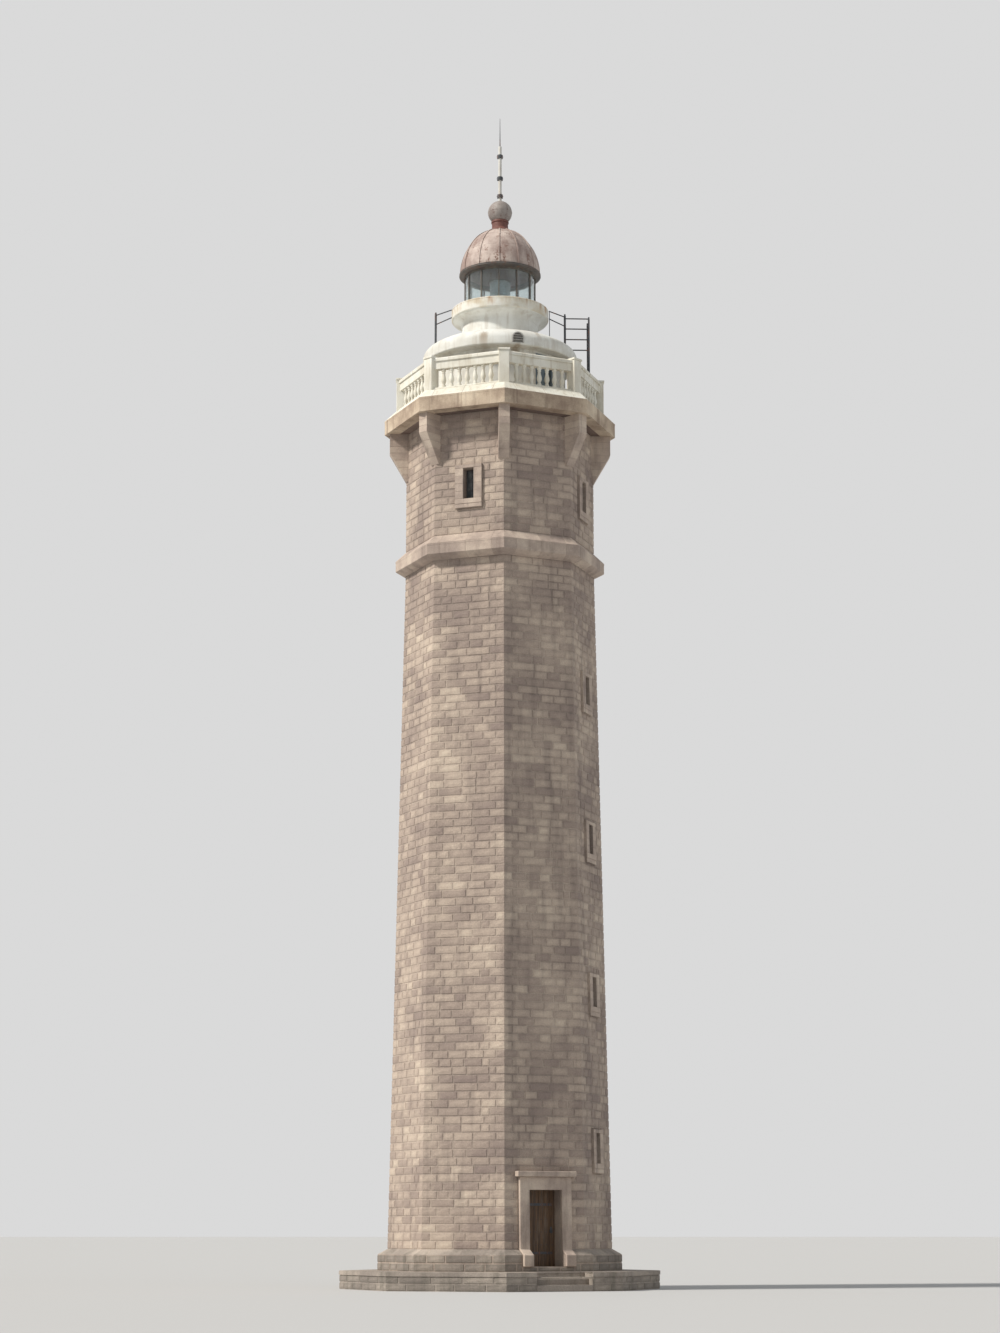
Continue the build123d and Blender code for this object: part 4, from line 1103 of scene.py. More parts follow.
@dataclass
class CourseWall:
    """Coursed stones over the eight sides of an octagonal wall.

    Attributes:
        name: Name of the layer of stones.
        foot: Level of the wall's foot.
        top: Level of its top.
        foot_radius: Corner radius at the foot.
        top_radius: Corner radius at the top.
        course: Height of a course, before it is fitted.
        lengths: Shortest and longest stone.
        quoins: Short and long arm of the corner stones.
        joint: Width of the mortar joints.
        proud: How far stones stand out of the mortar.
        seed: Seed of the lengths and tones.
        holes: Windows and doorways.
    """

    name: str
    foot: float
    top: float
    foot_radius: float
    top_radius: float
    course: float = 0.245
    lengths: Point = (0.34, 0.78)
    quoins: Point = (0.26, 0.46)
    joint: float = 0.014
    proud: float = 0.012
    seed: int = 11
    holes: list[Hole] = field(default_factory=list)

    LEAST_SHARE: ClassVar = 0.6
    LEAST_JOINTS: ClassVar = 3
    UNEVEN: ClassVar[Point] = (0.8, 1.25)

    def __post_init__(self) -> None:
        """Starts the draws."""
        self.draw = random.Random(self.seed)

    def radius(self, level: float) -> float:
        """Gives the wall's corner radius at a level."""
        return part_way(self.foot_radius, self.top_radius, (level - self.foot) / (self.top - self.foot))

    def split(self, low: float, high: float) -> list[Point]:
        """Splits a stretch of a course into stones of uneven length.

        Args:
            low: Left end of the stretch.
            high: Right end.

        Returns:
            Left and right end of each stone.
        """
        shortest, longest = self.lengths
        places = [low]
        while high - places[-1] > longest:
            places.append(places[-1] + self.draw.uniform(shortest, longest))
        if high - places[-1] < shortest * self.LEAST_SHARE and len(places) > 1:
            places[-1] = (places[-2] + high) / 2
        return list(zip(places, [*places[1:], high]))

    def clear(self, face: int, low: Point, high: Point) -> list[tuple[Point, Point]]:
        """Cuts the holes of one side out of a stone's outline.

        Args:
            face: Number of the side.
            low: Left end and foot of the stone.
            high: Right end and top.

        Returns:
            The outlines that are left.
        """
        left = [(low, high)]
        for hole in (h for h in self.holes if h.face == face):
            kept = []
            for (u0, z0), (u1, z1) in left:
                beside = u1 <= hole.low.y or u0 >= hole.high.y
                if beside or z1 <= hole.low.z or z0 >= hole.high.z:
                    kept.append(((u0, z0), (u1, z1)))
                    continue
                inner0, inner1 = max(u0, hole.low.y), min(u1, hole.high.y)
                parts = [
                    ((u0, z0), (inner0, z1)),
                    ((inner1, z0), (u1, z1)),
                    ((inner0, z0), (inner1, hole.low.z)),
                    ((inner0, hole.high.z), (inner1, z1)),
                ]
                least = self.LEAST_JOINTS * self.joint
                kept += [(a, b) for a, b in parts if min(b[0] - a[0], b[1] - a[1]) > least]
            left = kept
        return left

    def stones(self) -> list[Stone]:
        """Lays out all stones of the wall.

        Returns:
            The stones.
        """
        count = max(1, round((self.top - self.foot) / self.course))
        height = (self.top - self.foot) / count
        laid = []
        for row in range(count):
            foot = self.foot + row * height
            radius = self.radius(foot + height / 2)
            half = radius * math.sin(HALF_TURN)
            tones = [self.draw.random() for _ in range(SIDES)]
            for face in range(SIDES):
                arm = self.quoins[(row + face) % 2]
                left, right = -half + arm, half - arm
                spans = [(-half, left, (0.0, 1.0), tones[face])]
                spans += [(a, b, (1.0, 1.0), self.draw.random()) for a, b in self.split(left, right)]
                spans.append((right, half, (1.0, 0.0), tones[(face + 1) % SIDES]))
                for start, end, ends, tone in spans:
                    for low, high in self.clear(face, (start, foot), (end, foot + height)):
                        laid.append(self.stone(face, radius, low, high, ends, tone))
        return laid

    def stone(
        self, face: int, radius: float, low: Point, high: Point, ends: Point, tone: float
    ) -> Stone:
        """Places one stone on the wall.

        Args:
            face: Number of the side.
            radius: Corner radius at the course.
            low: Left end and foot.
            high: Right end and top.
            ends: Whether the left and right ends have a joint.
            tone: The stone's tone.

        Returns:
            The stone.
        """
        angle = FACE_ANGLES[face]
        reach = self.proud * math.tan(HALF_TURN)
        start = low[0] + (self.joint / 2 if ends[0] else -reach)
        end = high[0] - (self.joint / 2 if ends[1] else -reach)
        centre = spot(angle, radius * APOTHEM, (start + end) / 2, (low[1] + high[1]) / 2)
        height = high[1] - low[1] - self.joint
        proud = self.proud * (1.0 if 0.0 in ends else self.draw.uniform(*self.UNEVEN))
        return Stone(centre, Vector((0.0, 0.0, angle)), end - start, height, proud, ends, tone)


def face_of(point: Vector) -> int:
    """Gives the number of the octagon's side that a point lies on."""
    turn = math.atan2(point.y, point.x) % (2 * math.pi)
    return int(turn / (2 * HALF_TURN)) % SIDES


def part_way(start: float, end: float, share: float) -> float:
    """Gives the value at a share of the way from one to another."""
    return start + (end - start) * share


def directions(angle: float) -> tuple[Vector, Vector]:
    """Gives the outward and the sideways direction at an angle.

    Args:
        angle: Angle about the tower's axis.

    Returns:
        The two directions, level and of length 1.
    """
    return (
        Vector((math.cos(angle), math.sin(angle), 0.0)),
        Vector((-math.sin(angle), math.cos(angle), 0.0)),
    )


def spot(angle: float, out: float, side: float, level: float) -> Vector:
    """Gives a place in the frame of one direction."""
    outward, sideways = directions(angle)
    return outward * out + sideways * side + Vector((0.0, 0.0, level))


AXIS_WIDTH = 1e-4


def reaches(name: str, low: float = -math.inf, high: float = math.inf) -> Point:
    """Gives the nearest and farthest edge of a round solid between two levels.

    Args:
        name: The solid's name.
        low: Lowest level.
        high: Highest level.

    Returns:
        The two distances from the axis.
    """
    points = [p for group in bodies(name) for p in group if low <= p.z <= high]
    found = [math.hypot(p.x, p.y) for p in points if math.hypot(p.x, p.y) > AXIS_WIDTH]
    return min(found), max(found)


def flat_course(inner: float, outer: float, foot: float, top: float) -> list[Point]:
    """Gives the outline of a course with level beds and upright sides."""
    return [(inner, foot), (outer, foot), (outer, top), (inner, top)]


def fitted(points: Sequence[Vector], angle: float | None = None) -> Hole:
    """Gives the box that a body fills, in the frame of its side of the tower.

    Args:
        points: The body's points.
        angle: Direction that the body faces, or none for its octagon side's.

    Returns:
        The filled box.
    """
    face = face_of(sum(points, Vector()) / len(points))
    outward, sideways = directions(FACE_ANGLES[face] if angle is None else angle)
    local = [Vector((p.dot(outward), p.dot(sideways), p.z)) for p in points]
    low, high = (Vector([side(p[axis] for p in local) for axis in range(3)]) for side in (min, max))
    return Hole(face, low, high)


@dataclass
class BlockWork(Piece):
    """Blocks swept through sections, with worn edges and a tone for each.

    Attributes:
        name: Name of the piece.
        rounding: Width of the worn edge in metres.
        seed: Seed of the tones.
        spread: Width of the range of tones.
    """

    rounding: float = 0.008
    seed: int = 3
    spread: float = 1.0

    def __post_init__(self) -> None:
        """Starts an empty mesh."""
        self.shape = bmesh.new()

    def sweep(self, sections: Sequence[Sequence[Vector]]) -> None:
        """Adds one block through a row of sections.

        Args:
            sections: Corners of each section, all in the same order.
        """
        rings = [[self.shape.verts.new(corner) for corner in section] for section in sections]
        count = len(rings[0])
        for first, second in zip(rings, rings[1:]):
            for k in range(count):
                after = (k + 1) % count
                self.shape.faces.new((first[k], first[after], second[after], second[k]))
        self.shape.faces.new(rings[0][::-1])
        self.shape.faces.new(rings[-1])

    def box(self, angle: float, out: Point, side: Point, up: Point) -> None:
        """Adds a box given in the frame of one direction."""
        flat = flat_course(*out, *up)
        self.sweep([[spot(angle, x, y, z) for x, z in flat] for y in side])

    def make(self, finish: Finish) -> bpy.types.Object:
        """Makes the blocks.

        Args:
            finish: Their finish.

        Returns:
            The blocks.
        """
        bmesh.ops.recalc_face_normals(self.shape, faces=self.shape.faces)
        mesh = as_mesh(self.shape, self.name)
        paint_tones(mesh, self.seed, self.spread)
        return rounded(mesh, self.name, self.rounding)


def paint_tones(mesh: bpy.types.Mesh, seed: int, spread: float = 1.0) -> None:
    """Gives every separate body of a mesh one tone of its own.

    Args:
        mesh: The mesh.
        seed: Seed of the tones.
        spread: Width of the range of tones around the middle.
    """
    draw = random.Random(seed)
    parent = list(range(len(mesh.vertices)))

    def root(k: int) -> int:
        """Finds the first vertex of the body that a vertex belongs to.

        Args:
            k: Number of the vertex.

        Returns:
            Number of the first vertex.
        """
        while parent[k] != k:
            parent[k] = parent[parent[k]]
            k = parent[k]
        return k

    for edge in mesh.edges:
        first, second = (root(k) for k in edge.vertices)
        parent[max(first, second)] = min(first, second)
    tones: dict[int, float] = {}
    values = []
    for k in range(len(parent)):
        start = root(k)
        if start not in tones:
            tones[start] = 0.5 + (draw.random() - 0.5) * spread
        values.append(tones[start])
    mesh.attributes.new("tone", "FLOAT", "POINT").data.foreach_set("value", values)


@dataclass
class OctagonCourse(Piece):
    """A moulded course of blocks round the octagon, with joints across it.

    Attributes:
        name: Name of the piece.
        profile: Outline of the course as corner radius and level, counter-clockwise.
        length: Length of a block, before it is fitted.
        gap: Width of the joints.
        half: Half the length of a side's run, or none for blocks that wrap the corners.
        arm: Length of a corner block's arms, measured at the profile's largest radius.
        rounding: Width of the worn edges.
        seed: Seed of the tones.
        spread: Width of the range of tones.
        holes: Doorways and steps that interrupt the course.
    """

    profile: list[Point] = field(default_factory=list)
    length: float = 1.0
    gap: float = 0.005
    half: float | None = None
    arm: float = 0.42
    rounding: float = 0.008
    seed: int = 5
    spread: float = 1.0
    holes: Sequence[Hole] = ()

    SHORTEST: ClassVar = 0.05

    def open_runs(self, face: int, start: float, end: float) -> list[Point]:
        """Leaves the holes of one side out of a block's run.

        Args:
            face: Number of the side.
            start: Left end of the block.
            end: Right end.

        Returns:
            The runs that are left.
        """
        left = [(start, end)]
        for hole in (h for h in self.holes if h.face == face):
            parts = [
                part
                for low, high in left
                for part in ((low, min(high, hole.low.y)), (max(low, hole.high.y), high))
            ]
            left = [part for part in parts if part[1] - part[0] > self.SHORTEST]
        return left

    def section(self, face: int, along: float | None) -> list[Vector]:
        """Gives the course's section at a place along one side.

        Args:
            face: Number of the side.
            along: Distance from the side's middle, or none for the corner at its end.

        Returns:
            The section's corners.
        """
        angle = FACE_ANGLES[face]
        if along is None:
            return [spot(angle + HALF_TURN, radius, 0.0, level) for radius, level in self.profile]
        return [spot(angle, radius * APOTHEM, along, level) for radius, level in self.profile]

    def make(self, finish: Finish) -> bpy.types.Object:
        """Makes the course.

        Args:
            finish: Its finish.

        Returns:
            The course.
        """
        work = BlockWork(self.name, self.rounding, self.seed, spread=self.spread)
        inner = min(radius for radius, _ in self.profile) * math.sin(HALF_TURN)
        outer = max(radius for radius, _ in self.profile) * math.sin(HALF_TURN)
        end = self.half or min(inner, outer - self.arm)
        count = max(1, round(2 * end / self.length))
        step = 2 * end / count
        half_gap = self.gap / 2
        for face in range(SIDES):
            for k in range(count):
                start = -end + k * step
                for places in self.open_runs(face, start + half_gap, start + step - half_gap):
                    work.sweep([self.section(face, place) for place in places])
            if self.half is None:
                after = (face + 1) % SIDES
                bend = ((face, end + half_gap), (face, None), (after, -end - half_gap))
                work.sweep([self.section(side, along) for side, along in bend])
        return work.make(finish)


@dataclass
class Turned(Piece):
    """A piece turned about an upright axis.

    Attributes:
        name: Name of the piece.
        profile: Radius and level of each point, from the foot up on the outside.
        segments: Number of sides.
        closed: Whether the profile is a closed outline.
    """

    profile: list[Point] = field(default_factory=list)
    segments: int = 96
    closed: bool = False

    ON_AXIS: ClassVar = 1e-6

    def mesh(self) -> bpy.types.Mesh:
        """Builds the turned mesh with smooth sides and sharp steps.

        Returns:
            The mesh.
        """
        shape = bmesh.new()
        turns = [2 * math.pi * k / self.segments for k in range(self.segments)]
        rings = []
        for r, level in self.profile:
            if r < self.ON_AXIS:
                rings.append([shape.verts.new((0.0, 0.0, level))] * self.segments)
            else:
                places = [(r * math.cos(turn), r * math.sin(turn), level) for turn in turns]
                rings.append([shape.verts.new(place) for place in places])
        pairs = list(zip(rings, rings[1:]))
        if self.closed:
            pairs.append((rings[-1], rings[0]))
        for low, high in pairs:
            for k in range(self.segments):
                after = (k + 1) % self.segments
                corners = list(dict.fromkeys((low[k], low[after], high[after], high[k])))
                if len(corners) > 2:
                    shape.faces.new(corners)
        bmesh.ops.recalc_face_normals(shape, faces=shape.faces)
        mesh = as_mesh(shape, self.name)
        mesh.shade_smooth()
        mesh.set_sharp_from_angle(angle=SHARP_EDGE)
        return mesh

    def make(self, finish: Finish) -> bpy.types.Object:
        """Makes the turned piece."""
        return link(self.mesh(), self.name)


def curve(points: Sequence[Point], steps: int) -> list[Point]:
    """Draws a smooth line through points of a profile.

    Args:
        points: The points.
        steps: Number of short lines between two points.

    Returns:
        The points of the smooth line.
    """
    padded = [points[0], *points, points[-1]]
    drawn = []
    for k in range(1, len(padded) - 2):
        for t in (step / steps for step in range(steps)):
            weights = (
                -t + 2 * t**2 - t**3,
                2 - 5 * t**2 + 3 * t**3,
                t + 4 * t**2 - 3 * t**3,
                t**3 - t**2,
            )
            near = padded[k - 1 : k + 3]
            drawn.append(tuple(sum(w * p[axis] for w, p in zip(weights, near)) / 2 for axis in (0, 1)))
    return [*drawn, points[-1]]


@dataclass
class Repeats(Grown):
    """One small shape repeated at many places.

    Attributes:
        name: Name of the piece.
        shape: Mesh of the repeated shape, standing along +Z.
        places: Where each foot stands and how each is turned.
    """

    shape: bpy.types.Mesh | None = None
    places: list[tuple[Vector, Vector]] = field(default_factory=list)

    @classmethod
    def turn(cls, nodes: Nodes) -> bpy.types.NodeSocket:
        """Gives each place's stored turn.

        Args:
            nodes: The tree's nodes.

        Returns:
            The turns.
        """
        reader = "GeometryNodeInputNamedAttribute"
        turn = nodes.add(reader, {"Name": "turn"}, data_type="FLOAT_VECTOR").outputs[0]
        return nodes.add("FunctionNodeEulerToRotation", {0: turn}).outputs[0]

    def add(self, place: Vector, turn: Vector = Vector()) -> None:
        """Adds a place for the shape."""
        self.places.append((place, turn))

    def make(self, finish: Finish) -> bpy.types.Object:
        """Makes the repeated shapes, each with a tone of its own.

        Args:
            finish: Their finish.

        Returns:
            The piece.
        """
        mesh = bpy.data.meshes.new(self.name + "_points")
        mesh.from_pydata([tuple(place) for place, _ in self.places], [], [])
        layer = mesh.attributes.new("turn", "FLOAT_VECTOR", "POINT")
        layer.data.foreach_set("vector", [x for _, turn in self.places for x in turn])
        template = link(self.shape, self.name + "_template")
        piece = self.grow(mesh, finish, {"Shape": template})
        bpy.data.objects.remove(template)
        paint_tones(piece.data, len(self.places))
        return piece


def facing(angle: float, lean: float = 0.0) -> Vector:
    """Gives the turn that lays a shape standing along +Z outward at an angle."""
    return Vector((0.0, math.pi / 2 - lean, angle))


# Shares of a bolt's washer radius and height, and a domed stud's outline as shares of its radius
BOLT_WIDTH = 0.66
BOLT_TAPER = 0.94
WASHER_HEIGHT = 0.3
STUD_OUTLINE = ((1.0, 0.0), (0.85, 0.32), (0.45, 0.55), (0.0, 0.62))


def bolt_head(radius: float, height: float) -> bpy.types.Mesh:
    """Builds a six-sided bolt head on a round washer.

    Args:
        radius: Radius of the washer.
        height: Height of the head.

    Returns:
        The mesh.
    """
    head, washer = radius * BOLT_WIDTH, height * WASHER_HEIGHT
    shape = bmesh.new()
    for sides, size, foot, top in ((12, radius, 0.0, washer), (6, head, washer, height)):
        sizes = {"segments": sides, "radius1": size, "radius2": size * BOLT_TAPER, "depth": top - foot}
        made = bmesh.ops.create_cone(shape, cap_ends=True, **sizes)
        bmesh.ops.translate(shape, verts=made["verts"], vec=(0, 0, (foot + top) / 2))
    return as_mesh(shape, "bolt_head")


def stud_head(radius: float) -> bpy.types.Mesh:
    """Builds a low domed rivet or nail head."""
    return Turned("stud_head", [(radius * r, radius * z) for r, z in STUD_OUTLINE], segments=8).mesh()


def smooth(*names: str) -> None:
    """Shades solids that stay in view smoothly, with their real edges kept sharp.

    Args:
        *names: Names of the solids.
    """
    tree = bpy.data.node_groups.get("smooth_sides")
    if not tree:
        tree = bpy.data.node_groups.new("smooth_sides", "GeometryNodeTree")
        for direction in ("INPUT", "OUTPUT"):
            tree.interface.new_socket("Geometry", in_out=direction, socket_type="NodeSocketGeometry")
        nodes = Nodes(tree)
        given = nodes.add("NodeGroupInput").outputs[0]
        inputs = {"Geometry": given, "Distance": SAME_PLACE}
        merged = nodes.add("GeometryNodeMergeByDistance", inputs).outputs[0]
        faces = nodes.add("GeometryNodeSetShadeSmooth", {"Geometry": merged}, domain="FACE").outputs[0]
        bend = nodes.add("GeometryNodeInputMeshEdgeAngle").outputs[0]
        limit = {0: bend, 1: SHARP_EDGE}
        soft = nodes.add("FunctionNodeCompare", limit, operation="LESS_THAN").outputs[0]
        inputs = {"Geometry": faces, "Shade Smooth": soft}
        edges = nodes.add("GeometryNodeSetShadeSmooth", inputs, domain="EDGE").outputs[0]
        nodes.add("NodeGroupOutput", {0: edges})
    for name in names:
        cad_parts[name].modifiers.new("smooth", "NODES").node_group = tree


def moved(offsets: Iterable[Point], reach: float, level: float) -> list[Point]:
    """Moves the points of an outline to where it belongs."""
    return [(reach + out, level + up) for out, up in offsets]


def about(middle: float, half: float) -> Point:
    """Gives the two ends of a length about its middle."""
    return middle - half, middle + half


def stretches(low: float, high: float, count: int) -> list[Point]:
    """Parts a length into equal stretches."""
    marks = [part_way(low, high, k / count) for k in range(count + 1)]
    return list(zip(marks, marks[1:]))


def turns(count: int, start: float = 0.0) -> list[float]:
    """Gives directions spread evenly about the axis."""
    return [start + 2 * math.pi * k / count for k in range(count)]


# How far dressed work stands out of the solids, and how near to a plane a point counts as on it
PROUD = 0.006
NEAR = 0.01
SHAFT_STAGES = ("lower_shaft", "middle_shaft", "upper_shaft")


@dataclass
class Tower:
    """The coursed granite tower with its podium, string course and windows.

    Attributes:
        tie: How far dressed courses reach back into the wall.
        bed: Half of an open joint between corbel stones.
        joint: Half of an open joint between the stones of a surround.
        base_slope: Height of the base course's weathered top.
        plinth_course: Height of the courses below it.
        plinth_lengths: Shortest and longest stone in them.
        plinth_quoins: Short and long arm of their corner stones.
        flag_depth: Depth of the paving.
        flag_joint: Half of the open joint between two rings of it.
        string_band: Foot and top of the string course's band above its underside.
        string_hollow: Points of the hollow below it, from the wall and the underside.
        corbel_head: Height of a corbel's upright head.
        corbel_courses: Number of courses in a corbel's flare and in its head.
        corbel_root: Distance from the axis at which the corbels' stones begin.
        jamb_courses: Number of stones in a window's jamb.
        sill_height: Height of a window's sill.
        bar: Width of a glazing bar.
        bar_levels: Levels of the level bars as shares of the window's height.
        bar_end: How far the bars reach short of the opening's sides.
    """

    tie: float = 0.1
    bed: float = 0.003
    joint: float = 0.0025
    base_slope: float = 0.16
    plinth_course: float = 0.27
    plinth_lengths: Point = (0.55, 1.1)
    plinth_quoins: Point = (0.38, 0.62)
    flag_depth: float = 0.05
    flag_joint: float = 0.004
    string_band: Point = (0.14, 0.48)
    string_hollow: Outline = ((0.05, 0.015), (0.16, 0.045))
    corbel_head: float = 0.64
    corbel_courses: tuple[int, int] = (4, 3)
    corbel_root: float = 2.8
    jamb_courses: int = 4
    sill_height: float = 0.16
    bar: float = 0.022
    bar_levels: Point = (1 / 3, 2 / 3)
    bar_end: float = 0.03

    def __post_init__(self) -> None:
        """Reads the tower's levels and radii from the solids."""
        self.shaft_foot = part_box("lower_shaft")[0].z
        self.string_foot, self.string_top = (corner.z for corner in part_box("string_course"))
        self.foot_radius = corner_radius("lower_shaft")
        self.top_radius = corner_radius("watch_room_wall")
        self.windows = [fitted(points) for points in bodies("window_surrounds")]
        self.openings = [fitted(points) for points in bodies("window_sashes")]
        self.doorway = fitted(bodies("entrance_surround")[0])
        self.steps = fitted([p for points in bodies("entrance_steps") for p in points])

    def radius(self, level: float) -> float:
        """Gives the corner radius of the tower's wall."""
        share = (level - self.shaft_foot) / (self.string_foot - self.shaft_foot)
        return part_way(self.foot_radius, self.top_radius, min(1.0, max(0.0, share)))

    def build(self) -> None:
        """Builds all pieces of the tower."""
        walls = (*SHAFT_STAGES, "watch_room_wall")
        holes = [*self.windows, self.doorway]
        for seed, name in enumerate(walls, 20):
            low, high = (corner.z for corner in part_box(name))
            radii = self.radius(low), self.radius(high)
            wall = CourseWall("stones_of_" + name, low, high, *radii, seed=seed, holes=holes)
            StoneLayer(wall.name, seed=seed, stones=wall.stones()).build(GRANITE)
        dress(MORTAR, *walls, "base_course", "string_course", "corner_corbels", "window_surrounds")
        dress(CAP_GRANITE, "podium")
        dress(FLOOR_STONE, "ground_floor", "watch_room_floor", "lantern_floor")
        self.build_base()
        self.build_string_course()
        self.build_corbels()
        self.build_surrounds()
        self.build_sashes()

    def build_base(self) -> None:
        """Builds the base course, the podium's walls and its paving."""
        foot, top = (corner.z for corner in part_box("base_course"))
        radius, edge = corner_radius("base_course"), corner_radius("podium")
        platform = bodies("podium")[0]
        cap = min(p.z for p in platform if p.x > edge - NEAR)
        face = max(p.x for p in platform if p.z < NEAR)
        bend, root = top - self.base_slope, self.foot_radius - self.tie
        layer = StoneLayer("stones_of_base", rounding=0.022, seed=31)
        for low, high, reach in ((foot, bend, radius), (0.0, cap, face)):
            wall = CourseWall(
                "base",
                low,
                high,
                reach,
                reach,
                course=self.plinth_course,
                lengths=self.plinth_lengths,
                quoins=self.plinth_quoins,
                seed=32,
                holes=[self.doorway, self.steps],
            )
            layer.stones += wall.stones()
        layer.build(BASE_GRANITE)
        slope = [(root, bend), (radius + PROUD, bend), (self.foot_radius + 2 * PROUD, top), (root, top)]
        course = OctagonCourse("base_slope_blocks", slope, length=0.8, seed=33, holes=[self.doorway])
        course.build(BASE_GRANITE)
        middle = (radius + edge) / 2
        for name, inner, outer, holes in (
            ("podium_inner_flags", radius - self.flag_depth, middle - self.flag_joint, []),
            ("podium_rim_flags", middle + self.flag_joint, edge - 0.02, [self.steps]),
        ):
            flags = flat_course(inner, outer, foot - self.flag_depth, foot + PROUD)
            sizes = {"length": 0.85, "gap": 0.008, "rounding": 0.01, "seed": 34}
            OctagonCourse(name, flags, holes=holes, **sizes).build(BASE_GRANITE)

    def build_string_course(self) -> None:
        """Builds the moulded band under the watch room and its weathering."""
        wall, reach, foot = self.top_radius, corner_radius("string_course"), self.string_foot
        low, high = (foot + part for part in self.string_band)
        root = wall - self.tie
        hollow = [*moved(self.string_hollow, wall, foot), (reach - 0.02, low - 0.02)]
        lip = ((PROUD, low - high), (PROUD, -0.07), (2 * PROUD, -0.062), (2 * PROUD, -0.004))
        band = [(root, foot), (wall + 0.04, foot), *curve(hollow, 4), *moved(lip, reach, high)]
        band.append((root, high - 0.004))
        OctagonCourse("string_band", band, length=0.95, seed=41).build(DRESSED_GRANITE)
        top = self.string_top
        slope = [(root, high), (reach + PROUD, high), (wall + 2 * PROUD, top), (root, top)]
        OctagonCourse("string_weathering", slope, length=0.8, seed=42).build(DRESSED_GRANITE)

    def build_corbels(self) -> None:
        """Builds the flared corbels in courses."""
        low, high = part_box("corner_corbels")
        bend = high.z - self.corbel_head
        half = max(abs(p.y) for group in bodies("corner_corbels") for p in group if p.x > high.x - NEAR)
        flare, head = self.corbel_courses
        spans = (*stretches(low.z, bend, flare), *stretches(bend, high.z, head))
        work = BlockWork("corbel_blocks", seed=43)
        for corner in range(SIDES):
            for foot, top in spans:
                levels = foot + self.bed, top - self.bed
                shares = [min(1.0, (level - low.z) / (bend - low.z)) for level in levels]
                fronts = [part_way(self.top_radius, high.x, share) + PROUD for share in shares]
                back = [(self.corbel_root, level) for level in levels]
                side = [back[0], *zip(fronts, levels), back[1]]
                ends = about(0.0, half + PROUD)
                work.sweep([[spot(2 * HALF_TURN * corner, x, y, z) for x, z in side] for y in ends])
        work.build(DRESSED_GRANITE)

    def build_surrounds(self) -> None:
        """Builds the raised window surrounds stone by stone."""
        work = BlockWork("surround_blocks", rounding=0.01, seed=44)
        for opening in self.openings:
            middle = (opening.low.z + opening.high.z) / 2
            on_side = [window for window in self.windows if window.face == opening.face]
            around = next(window for window in on_side if window.low.z < middle < window.high.z)
            sill, head, apron = opening.low.z, opening.high.z, opening.low.z - self.sill_height
            left, right = around.low.y, around.high.y
            spans = [
                (left, 0.0, around.low.z, apron, 0.0),
                (0.0, right, around.low.z, apron, 0.0),
                (left, right, apron, sill, 0.012),
                (left, right, head, around.high.z, 0.004),
            ]
            for foot, top in stretches(sill, head, self.jamb_courses):
                for start, end in ((left, opening.low.y), (opening.high.y, right)):
                    spans.append((start, end, foot, top, 0.0))
            proud = around.high.x - self.radius(around.low.z) * APOTHEM + PROUD
            for start, end, foot, top, extra in spans:
                foot, top = foot + self.joint, top - self.joint
                corners = flat_course(-self.flag_depth, proud + extra, foot, top)
                section = [(self.radius(z) * APOTHEM + out, z) for out, z in corners]
                ends = (start + self.joint, end - self.joint)
                angle = FACE_ANGLES[opening.face]
                work.sweep([[spot(angle, x, y, z) for x, z in section] for y in ends])
        work.build(DRESSED_GRANITE)

    def build_sashes(self) -> None:
        """Builds the sashes with their glazing bars and dresses the glass."""
        carve("window_sashes", 0.004, SASH_PAINT)
        work = BlockWork("glazing_bars", rounding=0.003)
        half = self.bar / 2
        for sash in self.openings:
            angle, low, high = FACE_ANGLES[sash.face], sash.low, sash.high
            upright = (low.z + self.bar_end, high.z - self.bar_end)
            across = (low.y + self.bar_end, high.y - self.bar_end)
            work.box(angle, (low.x + 0.01, high.x - 0.006), about(0.0, half), upright)
            for share in self.bar_levels:
                level = part_way(low.z, high.z, share)
                work.box(angle, (low.x + 0.012, high.x - 0.008), across, about(level, half))
        work.build(SASH_PAINT)
        dress(WINDOW_GLASS, "window_glass")


